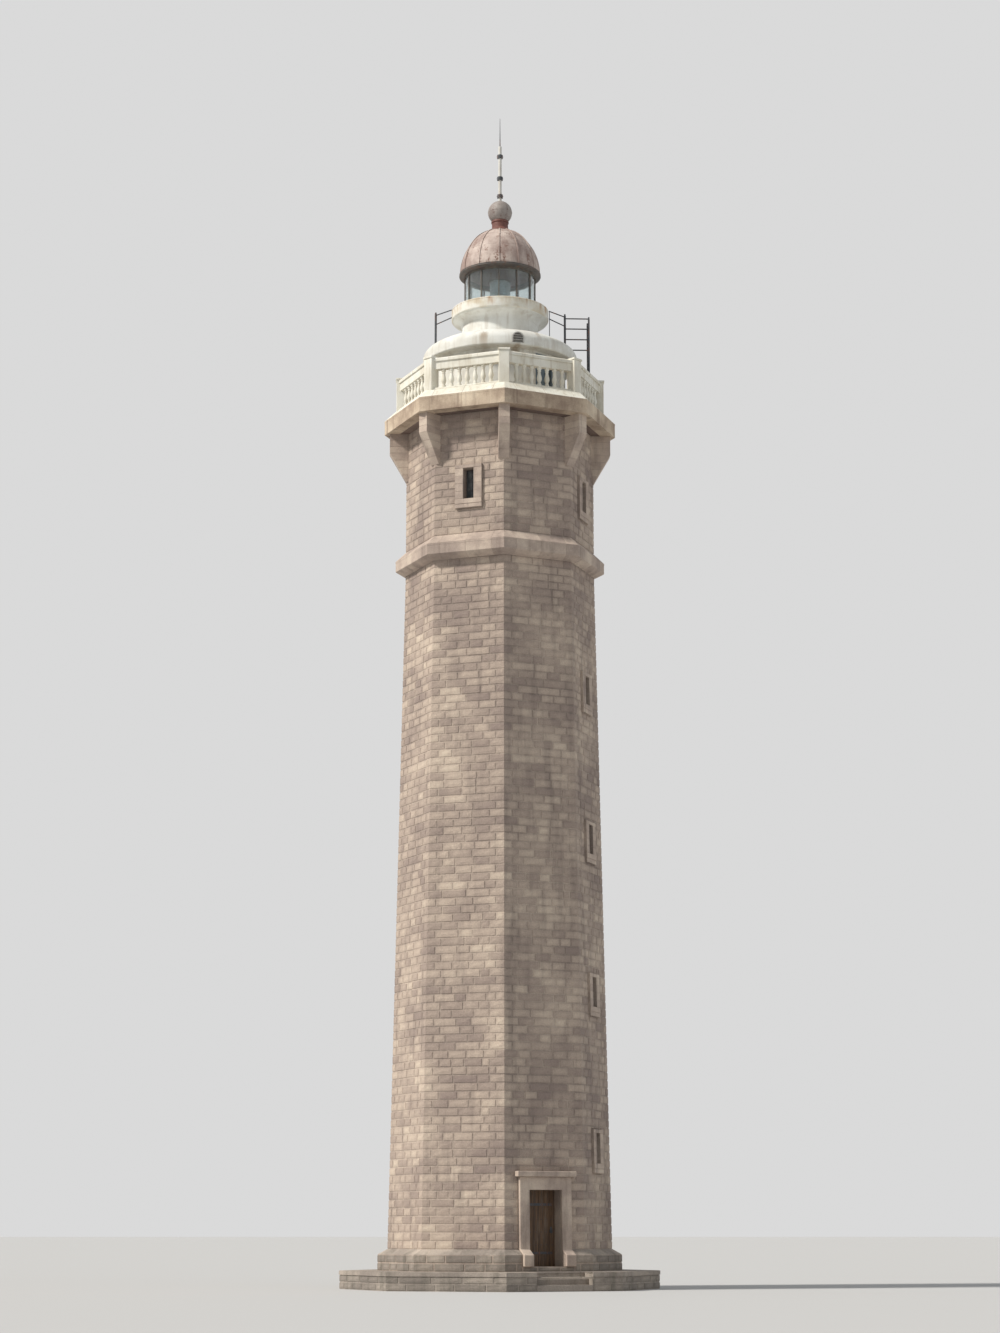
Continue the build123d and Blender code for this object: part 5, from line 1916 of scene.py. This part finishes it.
@dataclass
class Gallery:
    """The projecting slab, its paving and the balustrade.

    Attributes:
        slab_edge: Height of the slab's upright edge.
        edge_depth: How far the stones of the edge reach in.
        deck_inset: Distance of the deck's rim from the slab's edge.
        flag_depth: Depth of the paving.
        flag_joint: Half of the open joint between two rings of stones.
        rail_half: Half of the free length between two posts.
        rail_length: Longest stone of the rails.
        worn: Width of each rail's bevelled edge.
        baluster_sides: Number of sides of a turned baluster.
        foot: Outline of a baluster's foot as radius and height.
        vase: Points of its belly.
        head: Outline of its head up to the square top.
        top_radius: Radius of that top.
    """

    slab_edge: float = 0.46
    edge_depth: float = 0.42
    deck_inset: float = 0.30
    flag_depth: float = 0.05
    flag_joint: float = 0.004
    rail_half: float = 1.105
    rail_length: float = 1.12
    worn: tuple[tuple[str, float], ...] = (
        ("balustrade_kerb", 0.020),
        ("balustrade_frieze", 0.006),
        ("balustrade_coping", 0.034),
    )
    baluster_sides: int = 20
    foot: Outline = (
        (0.0, 0.0), (0.070, 0.0), (0.070, 0.048), (0.064, 0.056), (0.058, 0.060), (0.061, 0.072),
        (0.057, 0.084), (0.048, 0.088),
    )
    vase: Outline = (
        (0.045, 0.105), (0.053, 0.135), (0.071, 0.185), (0.080, 0.235), (0.076, 0.290),
        (0.061, 0.350), (0.049, 0.410), (0.044, 0.462),
    )
    head: Outline = (
        (0.054, 0.470), (0.057, 0.480), (0.054, 0.490), (0.047, 0.494), (0.047, 0.510),
        (0.060, 0.532), (0.070, 0.545),
    )
    top_radius: float = 0.070

    def build(self) -> None:
        """Builds all pieces of the gallery."""
        low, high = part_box("gallery_slab")
        reach, deck, edge = high.x, high.z, low.z + self.slab_edge
        back, under, top = reach - self.edge_depth, low.z - PROUD, reach - self.deck_inset
        dress(MORTAR, "gallery_slab")
        lip = moved(((PROUD, -0.07), (2 * PROUD, -0.06), (2 * PROUD, -0.003)), reach, edge)
        fascia = [(back, under), (reach + PROUD, under), *lip, (back, edge - 0.003)]
        OctagonCourse("slab_fascia", fascia, length=1.25, seed=51, rounding=0.012).build(SLAB_STONE)
        wall = corner_radius("watch_room_wall")
        # The soffit stones take painted shade, darkened for the shadow under the slab
        soffit = flat_course(wall - self.flag_depth, back - self.flag_joint, under, low.z + 0.1)
        OctagonCourse("slab_soffit", soffit, length=1.25, seed=52).build(SHADED_SOFFIT_STONE)
        slope = [(back, edge), (reach + PROUD, edge), (top + PROUD, deck + PROUD), (back, deck + PROUD)]
        OctagonCourse("slab_weathering", slope, length=1.1, seed=53, rounding=0.012).build(PALE_STONE)
        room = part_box("service_room_wall")[1].x / APOTHEM
        middle = (room + back) / 2
        for name, inner, outer in (
            ("deck_inner_flags", room - 0.03, middle - self.flag_joint),
            ("deck_outer_flags", middle + self.flag_joint, back - self.flag_joint),
        ):
            flags = flat_course(inner, outer, deck - self.flag_depth, deck + PROUD)
            OctagonCourse(name, flags, length=0.8, gap=0.007, seed=54).build(SLAB_STONE)
        self.build_rails()
        self.build_balusters()
        carve("balustrade_posts", 0.014, PALE_STONE, seed=55)
        carve("balustrade_post_caps", 0.010, PALE_STONE, seed=56)

    def build_rails(self) -> None:
        """Builds the kerb, frieze and coping between the posts."""
        sizes = {"length": self.rail_length, "gap": 0.0015, "half": self.rail_half}
        for name, worn in self.worn:
            foot, top = (corner.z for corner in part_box(name))
            inner, outer = self.ring_radii(name)
            rim = [(outer, top - worn), (outer - worn, top), (inner + worn, top), (inner, top - worn)]
            profile = [(inner, foot), (outer, foot), *rim]
            course = OctagonCourse("dressed_" + name, profile, seed=57, spread=0.7, **sizes)
            course.build(PALE_STONE, name)

    def ring_radii(self, name: str) -> Point:
        """Gives the inner and outer corner radius of one ring of the balustrade.

        Args:
            name: The ring's name.

        Returns:
            The two radii.
        """
        outward, sideways = directions(FACE_ANGLES[0])
        points = [p for points in bodies(name) for p in points if face_of(p) == 0]
        between = [p.dot(outward) for p in points if abs(p.dot(sideways)) < self.rail_half]
        return min(between) / APOTHEM, max(between) / APOTHEM

    def build_balusters(self) -> None:
        """Builds the turned balusters on the kerb."""
        low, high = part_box("balusters")
        height = high.z - low.z
        top = [(self.top_radius, height), (0.0, height)]
        profile = [*self.foot, *curve(self.vase, 3), *self.head, *top]
        shape = Turned("baluster", profile, segments=self.baluster_sides).mesh()
        repeats = Repeats("turned_balusters", shape)
        for points in bodies("balusters"):
            middle = sum(points, Vector()) / len(points)
            repeats.add(Vector((middle.x, middle.y, low.z)))
        repeats.build(PALE_STONE, "balusters")


@dataclass
class ServiceRoom:
    """The round plastered room on the gallery with its door, roof and vent.

    Attributes:
        door_angle: Direction that the low door faces.
        kick_plate: Foot and top of the kick plate above the door's foot.
        kick_inset: Its distance from the door's edges.
        hinges: Levels of the hinges as shares of the door's height.
        hinge_plates: Near and far end from the hinge's edge, half height and thickness.
        handle_level: Height of the handle above the door's foot.
        handle_plates: Far and near end from the lock's edge, half height and thickness.
        plinth: Height of the skirting.
        plinth_steps: Number of straight stretches in its curve.
    """

    door_angle: float = math.radians(-50)
    kick_plate: Point = (0.02, 0.08)
    kick_inset: float = 0.03
    hinges: tuple[float, ...] = (0.14, 0.5, 0.86)
    hinge_plates: tuple[Plate, ...] = ((0.002, 0.085, 0.045, 0.006), (0.001, 0.024, 0.055, 0.022))
    handle_level: float = 0.95
    handle_plates: tuple[Plate, ...] = (
        (0.07, 0.03, 0.09, 0.006),
        (0.062, 0.042, 0.012, 0.045),
        (0.15, 0.042, 0.011, 0.058),
    )
    plinth: float = 0.12
    plinth_steps: int = 72

    def build(self) -> None:
        """Builds all pieces of the service room."""
        dress(PLASTER, "service_room_wall", "domed_roof")
        smooth("service_room_wall", "domed_roof", "roof_vent")
        dress(VENT_PAINT, "roof_vent")
        # Door and frame take the blue-grey painted shade of the room's shaded side
        carve("service_door", 0.005, SHADE_BLUE_DOOR_PAINT)
        carve("service_door_frame", 0.006, SHADE_BLUE_DOOR_PAINT)
        self.build_fittings()
        self.build_plinth()

    def build_fittings(self) -> None:
        """Builds the door's hinges, handle and kick plate."""
        leaf = fitted(bodies("service_door")[0], self.door_angle)
        face, left, right, foot = leaf.high.x, leaf.low.y, leaf.high.y, leaf.low.z
        low, high = (foot + level for level in self.kick_plate)
        inset = self.kick_inset
        plates = [(left + inset, right - inset, low, high, 0.003)]
        for share in self.hinges:
            level = part_way(foot, leaf.high.z, share)
            for near, far, half, out in self.hinge_plates:
                plates.append((left + near, left + far, *about(level, half), out))
        for far, near, half, out in self.handle_plates:
            plates.append((right - far, right - near, *about(foot + self.handle_level, half), out))
        work = BlockWork("service_door_fittings", rounding=0.003)
        for start, end, low, high, out in plates:
            work.box(self.door_angle, (face - 0.002, face + out), (start, end), (low, high))
        work.build(DARK_IRON)

    def build_plinth(self) -> None:
        """Builds the rendered skirting round the room's foot, open at the door."""
        low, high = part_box("service_room_wall")
        around = fitted(bodies("service_door_frame")[0], self.door_angle)
        half = max(abs(around.low.y), abs(around.high.y)) + 0.01
        work = BlockWork("service_room_skirting", rounding=0.008)
        opening = math.asin(half / high.x)
        start, end = self.door_angle + opening, self.door_angle + 2 * math.pi - opening
        top = self.plinth
        outline = ((-0.02, 0.0), (0.022, 0.0), (0.022, top - 0.02), (0.004, top), (-0.02, top))
        section = moved(outline, high.x, low.z)
        steps = self.plinth_steps
        angles = [part_way(start, end, k / steps) for k in range(steps + 1)]
        work.sweep([[spot(angle, r, 0.0, z) for r, z in section] for angle in angles])
        work.build(PLASTER)


@dataclass
class Lantern:
    """The lantern's ring, glazing, lens, cupola, ventilator and rod.

    Attributes:
        cove: Points of the drum's cove, from the drum's face and the ring's foot.
        cove_end: Its last point, from the ring's reach and foot.
        bead_foot: Lower mouldings of the ring, from its reach and foot.
        bead_head: Upper mouldings of the ring, from its reach and top.
        first_bar: Direction of the first upright glazing bar.
        bars: Number of glazing bars.
        shoe: Distance of a bar's shoe from its end, half width and half height.
        shoe_bolts: Distance of a shoe's bolts from its middle, to either side.
        rim_foot: Lower mouldings of the gutter rim, from its reach and foot.
        rim_head: Upper mouldings of the gutter rim, from its reach and top.
        rise: Height of the dome.
        laps: Levels of the copper sheets' laps, as degrees above the springing.
        lap_width: Width of a lap in degrees.
        rivet_pitch: Distance between the rivets of a lap.
        bend: Height of the ventilator neck's flare.
        collar: Mouldings at the neck's top, from its waist and top.
        neck_rivets: Number of rivets round the neck's foot.
        seam: Outline of the ball's seam, from its reach and middle.
        collar_bolts: Number of bolts round a collar of the rod.
    """

    cove: Outline = ((0.012, -0.208), (0.040, -0.137), (0.130, -0.065))
    cove_end: Point = (-0.045, -0.018)
    bead_foot: Outline = ((-0.040, 0.0), (-0.016, 0.012), (-0.004, 0.030), (0.0, 0.050))
    bead_head: Outline = (
        (0.0, -0.075), (-0.012, -0.068), (-0.012, -0.058), (-0.002, -0.048), (0.0, -0.030),
        (-0.010, -0.010), (-0.030, 0.0),
    )
    first_bar: float = math.radians(-94)
    bars: int = 12
    shoe: tuple[float, float, float] = (0.035, 0.045, 0.032)
    shoe_bolts: float = 0.031
    rim_foot: Outline = (
        (-0.03, 0.026), (-0.006, 0.030), (0.0, 0.042), (-0.006, 0.054), (-0.016, 0.058),
    )
    rim_head: Outline = ((-0.016, -0.026), (-0.004, -0.020), (-0.004, -0.006), (-0.014, 0.0))
    rise: float = 1.55
    laps: tuple[float, ...] = (2.0, 26.0, 48.0)
    lap_width: float = 2.2
    rivet_pitch: float = 0.09
    bend: float = 0.14
    collar: Outline = (
        (0.0, -0.09), (0.020, -0.080), (0.026, -0.055), (0.020, -0.030), (0.0, -0.022), (0.0, 0.0),
    )
    neck_rivets: int = 24
    seam: Outline = ((-0.01, -0.016), (0.003, -0.014), (0.006, 0.0), (0.003, 0.014), (-0.01, 0.016))
    collar_bolts: int = 6

    def build(self) -> None:
        """Builds all pieces of the lantern."""
        self.build_ring()
        self.build_glazing()
        self.build_cupola()
        self.build_ventilator()
        self.build_rod()

    def build_ring(self) -> None:
        """Builds the coved drum and the moulded ring under the glazing."""
        low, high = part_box("lantern_gallery_ring")
        level, reach = low.z, high.x
        drum_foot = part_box("lantern_drum")[0].z
        bore = reaches("lantern_gallery_ring")[0]
        foot, drum = reaches("lantern_drum", high=drum_foot + NEAR)
        cove = curve([*moved(self.cove, drum, level), *moved([self.cove_end], reach, level)], 6)
        fillet = moved(((0.0, -0.224), (0.012, -0.216)), drum, level)
        top = [(reach - 0.040, level), (foot, level)]
        profile = [(foot, drum_foot), (drum, drum_foot), *fillet, *cove, *top]
        Turned("coved_drum", profile, closed=True).build(PLASTER, "lantern_drum")
        bead = [*moved(self.bead_foot, reach, level), *moved(self.bead_head, reach, high.z)]
        ring = Turned("moulded_ring", [(bore, level), *bead, (bore, high.z)], closed=True)
        ring.build(STAINED_PLASTER, "lantern_gallery_ring")

    def build_glazing(self) -> None:
        """Dresses the glazing and the lens and builds their bolts and shoes."""
        dress(LANTERN_METAL, "lantern_astragals", "optic_pedestal", "optic_cap")
        dress(LANTERN_GLASS, "lantern_glass")
        dress(OPTIC_GLASS, "optic_lens")
        smooth("lantern_astragals", "lantern_glass", "optic_pedestal", "optic_cap")
        low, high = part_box("lantern_astragals")
        bolts = Repeats("glazing_bolts", bolt_head(0.013, 0.014))
        shoes = BlockWork("glazing_shoes", rounding=0.003)
        inset, half, rise = self.shoe
        for angle in turns(self.bars, self.first_bar):
            for level in (low.z + inset, high.z - inset):
                out = (high.x - 0.02, high.x + 0.004)
                shoes.box(angle, out, about(0.0, half), about(level, rise))
                for side in about(0.0, self.shoe_bolts):
                    bolts.add(spot(angle, high.x + 0.003, side, level), facing(angle))
        shoes.build(LANTERN_METAL)
        bolts.build(LANTERN_METAL)

    def build_cupola(self) -> None:
        """Builds the gutter rim, the copper sheets' laps and their rivets."""
        dress(DOME_COPPER, "cupola_shell", "cupola_seams")
        smooth("cupola_shell", "cupola_seams")
        low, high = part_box("cupola_rim")
        bore, neck = reaches("cupola_rim")[0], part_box("lantern_astragals")[1].x
        inside = moved(((0.0, 0.0), (0.010, 0.006)), neck, low.z)
        rim = [*inside, *moved(self.rim_foot, high.x, low.z), *moved(self.rim_head, high.x, high.z)]
        outline = [(bore, low.z), *rim, (bore, high.z)]
        Turned("gutter_rim", outline, closed=True).build(RIM_COPPER, "cupola_rim")
        foot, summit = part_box("cupola_shell")

        def on_dome(turn: float, out: float) -> Point:
            """Gives a place on the dome's outline, raised by a little."""
            return (summit.x + out) * math.cos(turn), foot.z + (self.rise + out) * math.sin(turn)

        studs = Repeats("cupola_rivets", stud_head(0.008))
        for number, degrees in enumerate(self.laps, 1):
            start, end = math.radians(degrees), math.radians(degrees + self.lap_width)
            places = ((start, 0.0), (start, 0.004), (end, 0.004), (end, -0.002))
            band = [on_dome(turn, out) for turn, out in places]
            Turned(f"copper_lap_{number}", band, closed=True).build(DOME_COPPER)
            middle = (start + end) / 2
            reach, level = on_dome(middle, 0.003)
            for angle in turns(int(2 * math.pi * band[0][0] / self.rivet_pitch)):
                studs.add(spot(angle, reach, 0.0, level), facing(angle, middle))
        studs.build(DOME_COPPER)

    def build_ventilator(self) -> None:
        """Builds the neck with its rivets and the ball's seam."""
        low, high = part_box("ventilator_neck")
        foot, level = high.x, low.z
        waist = reaches("ventilator_neck", low=high.z - NEAR)[1]
        flare = [(foot - 0.03, level + 0.03), (waist + 0.05, level + 0.08), (waist, level + self.bend)]
        neck = [
            (0.0, level),
            *moved(((0.0, 0.0), (0.0, 0.022), (-0.02, 0.026)), foot, level),
            *curve(flare, 6),
            *moved(self.collar, waist, high.z),
            (0.0, high.z),
        ]
        Turned("waisted_neck", neck, segments=64).build(DARK_COPPER, "ventilator_neck")
        studs = Repeats("neck_rivets", stud_head(0.009))
        for angle in turns(self.neck_rivets):
            studs.add(spot(angle, foot - 0.011, 0.0, level + 0.022))
        studs.build(DARK_COPPER)
        dress(BALL_COPPER, "ventilator_ball")
        smooth("ventilator_ball")
        foot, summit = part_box("ventilator_ball")
        centre = foot.z + math.sqrt(summit.x**2 - waist**2)
        seam = moved(self.seam, summit.x, centre)
        Turned("ball_seam", seam, closed=True, segments=72).build(BALL_COPPER)

    def build_rod(self) -> None:
        """Dresses the rod and builds the bolts of its collars."""
        dress(ROD_METAL, "lightning_rod")
        dress(DARK_IRON, "rod_collars", "rod_tip")
        smooth("lightning_rod", "rod_collars", "rod_tip")
        bolts = Repeats("collar_bolts", bolt_head(0.014, 0.016))
        for points in bodies("rod_collars"):
            collar = fitted(points, 0.0)
            level = (collar.low.z + collar.high.z) / 2
            for angle in turns(self.collar_bolts):
                bolts.add(spot(angle, collar.high.x - 0.001, 0.0, level), facing(angle))
        bolts.build(DARK_IRON)


@dataclass
class Ironwork:
    """The ladder, its guard rails, and the fixings that hold them.

    Attributes:
        plate: Half of a foot plate's width.
        thickness: Thickness of a foot plate.
        bolt_place: Distance of its bolts from its middle, to either side.
        knob: Outline of a post's knob as radius and height.
    """

    plate: float = 0.075
    thickness: float = 0.018
    bolt_place: float = 0.053
    knob: Outline = (
        (0.0, -0.006), (0.026, -0.004), (0.026, 0.006), (0.018, 0.012), (0.030, 0.028),
        (0.032, 0.040), (0.026, 0.054), (0.014, 0.064), (0.0, 0.068),
    )

    def build(self) -> None:
        """Dresses the ironwork and builds the ladder's feet, bolts and knobs."""
        names = ("access_ladder", "ladder_guard_rails", "ladder_handrails")
        dress(DARK_IRON, *names)
        smooth(*names)
        low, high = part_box("access_ladder")
        reach = (low.x + high.x) / 2
        side = high.y - (high.x - low.x) / 2
        plates = BlockWork("ladder_feet", rounding=0.003)
        bolts = Repeats("ladder_bolts", bolt_head(0.014, 0.018))
        for y in about(0.0, side):
            up = (low.z, low.z + self.thickness)
            plates.box(0.0, about(reach, self.plate), about(y, self.plate), up)
            for bolt_x in about(reach, self.bolt_place):
                for bolt_y in about(y, self.bolt_place):
                    bolts.add(Vector((bolt_x, bolt_y, low.z + self.thickness - 0.001)))
        plates.build(DARK_IRON)
        bolts.build(DARK_IRON)
        knobs = Repeats("post_knobs", Turned("post_knob", [*self.knob], segments=16).mesh())
        for y in about(0.0, side):
            knobs.add(Vector((reach, y, high.z)))
        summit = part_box("ladder_guard_rails")[1].z
        for points in bodies("ladder_guard_rails"):
            top = [p for p in points if p.z > summit - NEAR]
            if top:
                knobs.add(sum(top, Vector()) / len(top))
        knobs.build(DARK_IRON)


@dataclass
class Entrance:
    """The ground-level doorway with its steps, hood and boarded door.

    Attributes:
        angle: Direction that the doorway faces.
        strap_studs: Number of studs in a hinge strap.
        rows: Levels of the rows of studs above the door's foot.
        row_studs: Number of studs in a row.
        handle_level: Height of the handle above the door's foot.
        handle_inset: Its distance from the door's edge.
        ring_radius: Radius of the ring handle.
        ring_wire: Half thickness of the ring.
    """

    angle: float = math.radians(-67.5)
    strap_studs: int = 7
    rows: tuple[float, ...] = (0.62, 0.99, 1.36)
    row_studs: int = 6
    handle_level: float = 1.05
    handle_inset: float = 0.12
    ring_radius: float = 0.055
    ring_wire: float = 0.007

    def build(self) -> None:
        """Builds all pieces of the entrance."""
        carve("entrance_steps", 0.018, BASE_GRANITE)
        carve("entrance_surround", 0.020, DRESSED_GRANITE, seed=9)
        carve("entrance_hood", 0.020, DRESSED_GRANITE, seed=10)
        dress(DOOR_OAK, "entrance_door")
        dress(DARK_IRON, "entrance_door_straps")
        studs = Repeats("entrance_door_studs", stud_head(0.016))
        door = fitted(bodies("entrance_door")[0], self.angle)
        straps = [fitted(points, self.angle) for points in bodies("entrance_door_straps")]
        rows = [(strap, (strap.low.z + strap.high.z) / 2, self.strap_studs) for strap in straps]
        rows += [(door, door.low.z + level, self.row_studs) for level in self.rows]
        for plank, level, count in rows:
            for left, right in stretches(plank.low.y, plank.high.y, count):
                place = spot(self.angle, plank.high.x, (left + right) / 2, level)
                studs.add(place, facing(self.angle))
        studs.build(DARK_IRON)
        self.build_handle(door)

    def build_handle(self, door: Hole) -> None:
        """Builds the ring handle and its plate.

        Args:
            door: The door leaf's box.
        """
        level, y = door.low.z + self.handle_level, door.high.y - self.handle_inset
        work = BlockWork("entrance_handle_plate", rounding=0.002)
        out = (door.high.x - 0.002, door.high.x + PROUD)
        work.box(self.angle, out, about(y, 0.035), about(level, 0.09))
        work.build(DARK_IRON)
        wire = [(self.ring_wire * math.cos(a), self.ring_wire * math.sin(a)) for a in turns(10)]
        outline = moved(wire, self.ring_radius, 0.0)
        ring = Turned("ring_handle", outline, closed=True, segments=32).mesh()
        rings = Repeats("entrance_ring_handle", ring)
        rings.add(spot(self.angle, door.high.x + 0.020, y, level - 0.03), facing(self.angle))
        rings.build(DARK_IRON)


@dataclass(frozen=True)
class Sun:
    """One wide, soft light from far away.

    Attributes:
        name: The light's name.
        power: Its strength.
        rise: Its height above the horizon.
        turn: Its direction from the camera's, to the right.
        softness: Its apparent width.
        colour: Its colour.
    """

    name: str
    power: float
    rise: float
    turn: float
    softness: float
    colour: Colour


@dataclass
class Studio:
    """Floor, light, background and camera.

    Attributes:
        azimuth: Direction of the camera from the tower's front.
        distance: Its distance from the axis.
        eye_height: Its height above the ground.
        pitch: How far it looks up.
        lens: Its focal length in millimetres.
        floor_size: Width of the floor.
        floor_tone: Tone of the floor.
        floor_roughness: Roughness of the floor.
        sky: Colour and strength of the light from all round.
        backdrop: Colour and strength of the background that shows.
        suns: The lights.
    """

    azimuth: float = math.radians(-2.2)
    distance: float = 83.0
    eye_height: float = 1.6
    pitch: float = math.radians(12)
    lens: float = 72.2
    floor_size: float = 4000.0
    floor_tone: float = 0.50
    floor_roughness: float = 0.9
    sky: tuple[Colour, float] = ((0.95, 0.98, 1.0), 0.40)
    backdrop: tuple[Colour, float] = ((1.0, 1.0, 1.0), 0.70)
    suns: tuple[Sun, ...] = (
        Sun("key", 3.9, math.radians(43), math.radians(-69), math.radians(6), (1.0, 0.955, 0.885)),
        Sun("fill", 0.15, math.radians(25), math.radians(55), math.radians(40), (0.90, 0.95, 1.0)),
    )

    def build(self) -> None:
        """Builds the studio round the lighthouse."""
        self.build_floor()
        self.build_world()
        for sun in self.suns:
            self.build_sun(sun)
        self.build_camera()

    def build_floor(self) -> None:
        """Builds a plain pale floor at ground level."""
        low, high = about(0.0, self.floor_size / 2)
        mesh = bpy.data.meshes.new("studio_floor")
        corners = [(x, y, 0.0) for x, y in flat_course(low, high, low, high)]
        mesh.from_pydata(corners, [], [(0, 1, 2, 3)])
        material = bpy.data.materials.new("studio_floor")
        material.use_nodes = True
        shader = material.node_tree.nodes["Principled BSDF"]
        shader.inputs["Base Color"].default_value = (*[self.floor_tone] * 3, 1.0)
        shader.inputs["Roughness"].default_value = self.floor_roughness
        mesh.materials.append(material)
        floor = link(mesh, "studio_floor")

    def build_world(self) -> None:
        """Lights the scene softly all round, with a paler plain background."""
        world = bpy.data.worlds.new("studio")
        world.use_nodes = True
        world.node_tree.nodes.clear()
        nodes = Nodes(world.node_tree)
        path = nodes.add("ShaderNodeLightPath").outputs
        seen = nodes.math("MAXIMUM", path["Is Camera Ray"], path["Is Glossy Ray"])
        seen = nodes.math("MAXIMUM", seen, path["Is Transmission Ray"])
        inputs = {0: seen}
        for place, (colour, strength) in enumerate((self.sky, self.backdrop), 1):
            values = {"Color": (*colour, 1.0), "Strength": strength}
            inputs[place] = nodes.add("ShaderNodeBackground", values).outputs[0]
        nodes.add("ShaderNodeOutputWorld", {0: nodes.add("ShaderNodeMixShader", inputs).outputs[0]})
        bpy.context.scene.world = world

    def build_sun(self, sun: Sun) -> None:
        """Builds one light.

        Args:
            sun: Its description.
        """
        light = bpy.data.lights.new(sun.name, "SUN")
        light.energy, light.angle, light.color = sun.power, sun.softness, sun.colour
        made = bpy.data.objects.new(sun.name, light)
        bpy.context.scene.collection.objects.link(made)
        away = spot(self.azimuth + sun.turn - math.pi / 2, math.cos(sun.rise), 0.0, math.sin(sun.rise))
        made.rotation_euler = away.to_track_quat("Z", "Y").to_euler()

    def build_camera(self) -> None:
        """Sets the camera on the ground before the tower, looking up."""
        camera = bpy.data.objects.new("camera", bpy.data.cameras.new("camera"))
        bpy.context.scene.collection.objects.link(camera)
        camera.data.lens = self.lens
        camera.data.clip_end = self.floor_size
        camera.location = spot(self.azimuth - math.pi / 2, self.distance, 0.0, self.eye_height)
        camera.rotation_euler = (math.pi / 2 + self.pitch, 0.0, self.azimuth)
        bpy.context.scene.camera = camera
        bpy.context.scene.view_settings.view_transform = "Standard"


def main() -> None:
    """Builds the lighthouse and the studio round it."""
    logging.basicConfig(level=logging.INFO, format="%(name)s: %(message)s")
    for part in (Tower(), Gallery(), ServiceRoom(), Lantern(), Ironwork(), Entrance(), Studio()):
        part.build()
        LOG.info("%s built", type(part).__name__)
    bpy.data.objects.remove(StoneLayer.block())


if __name__ == "__main__":
    main()
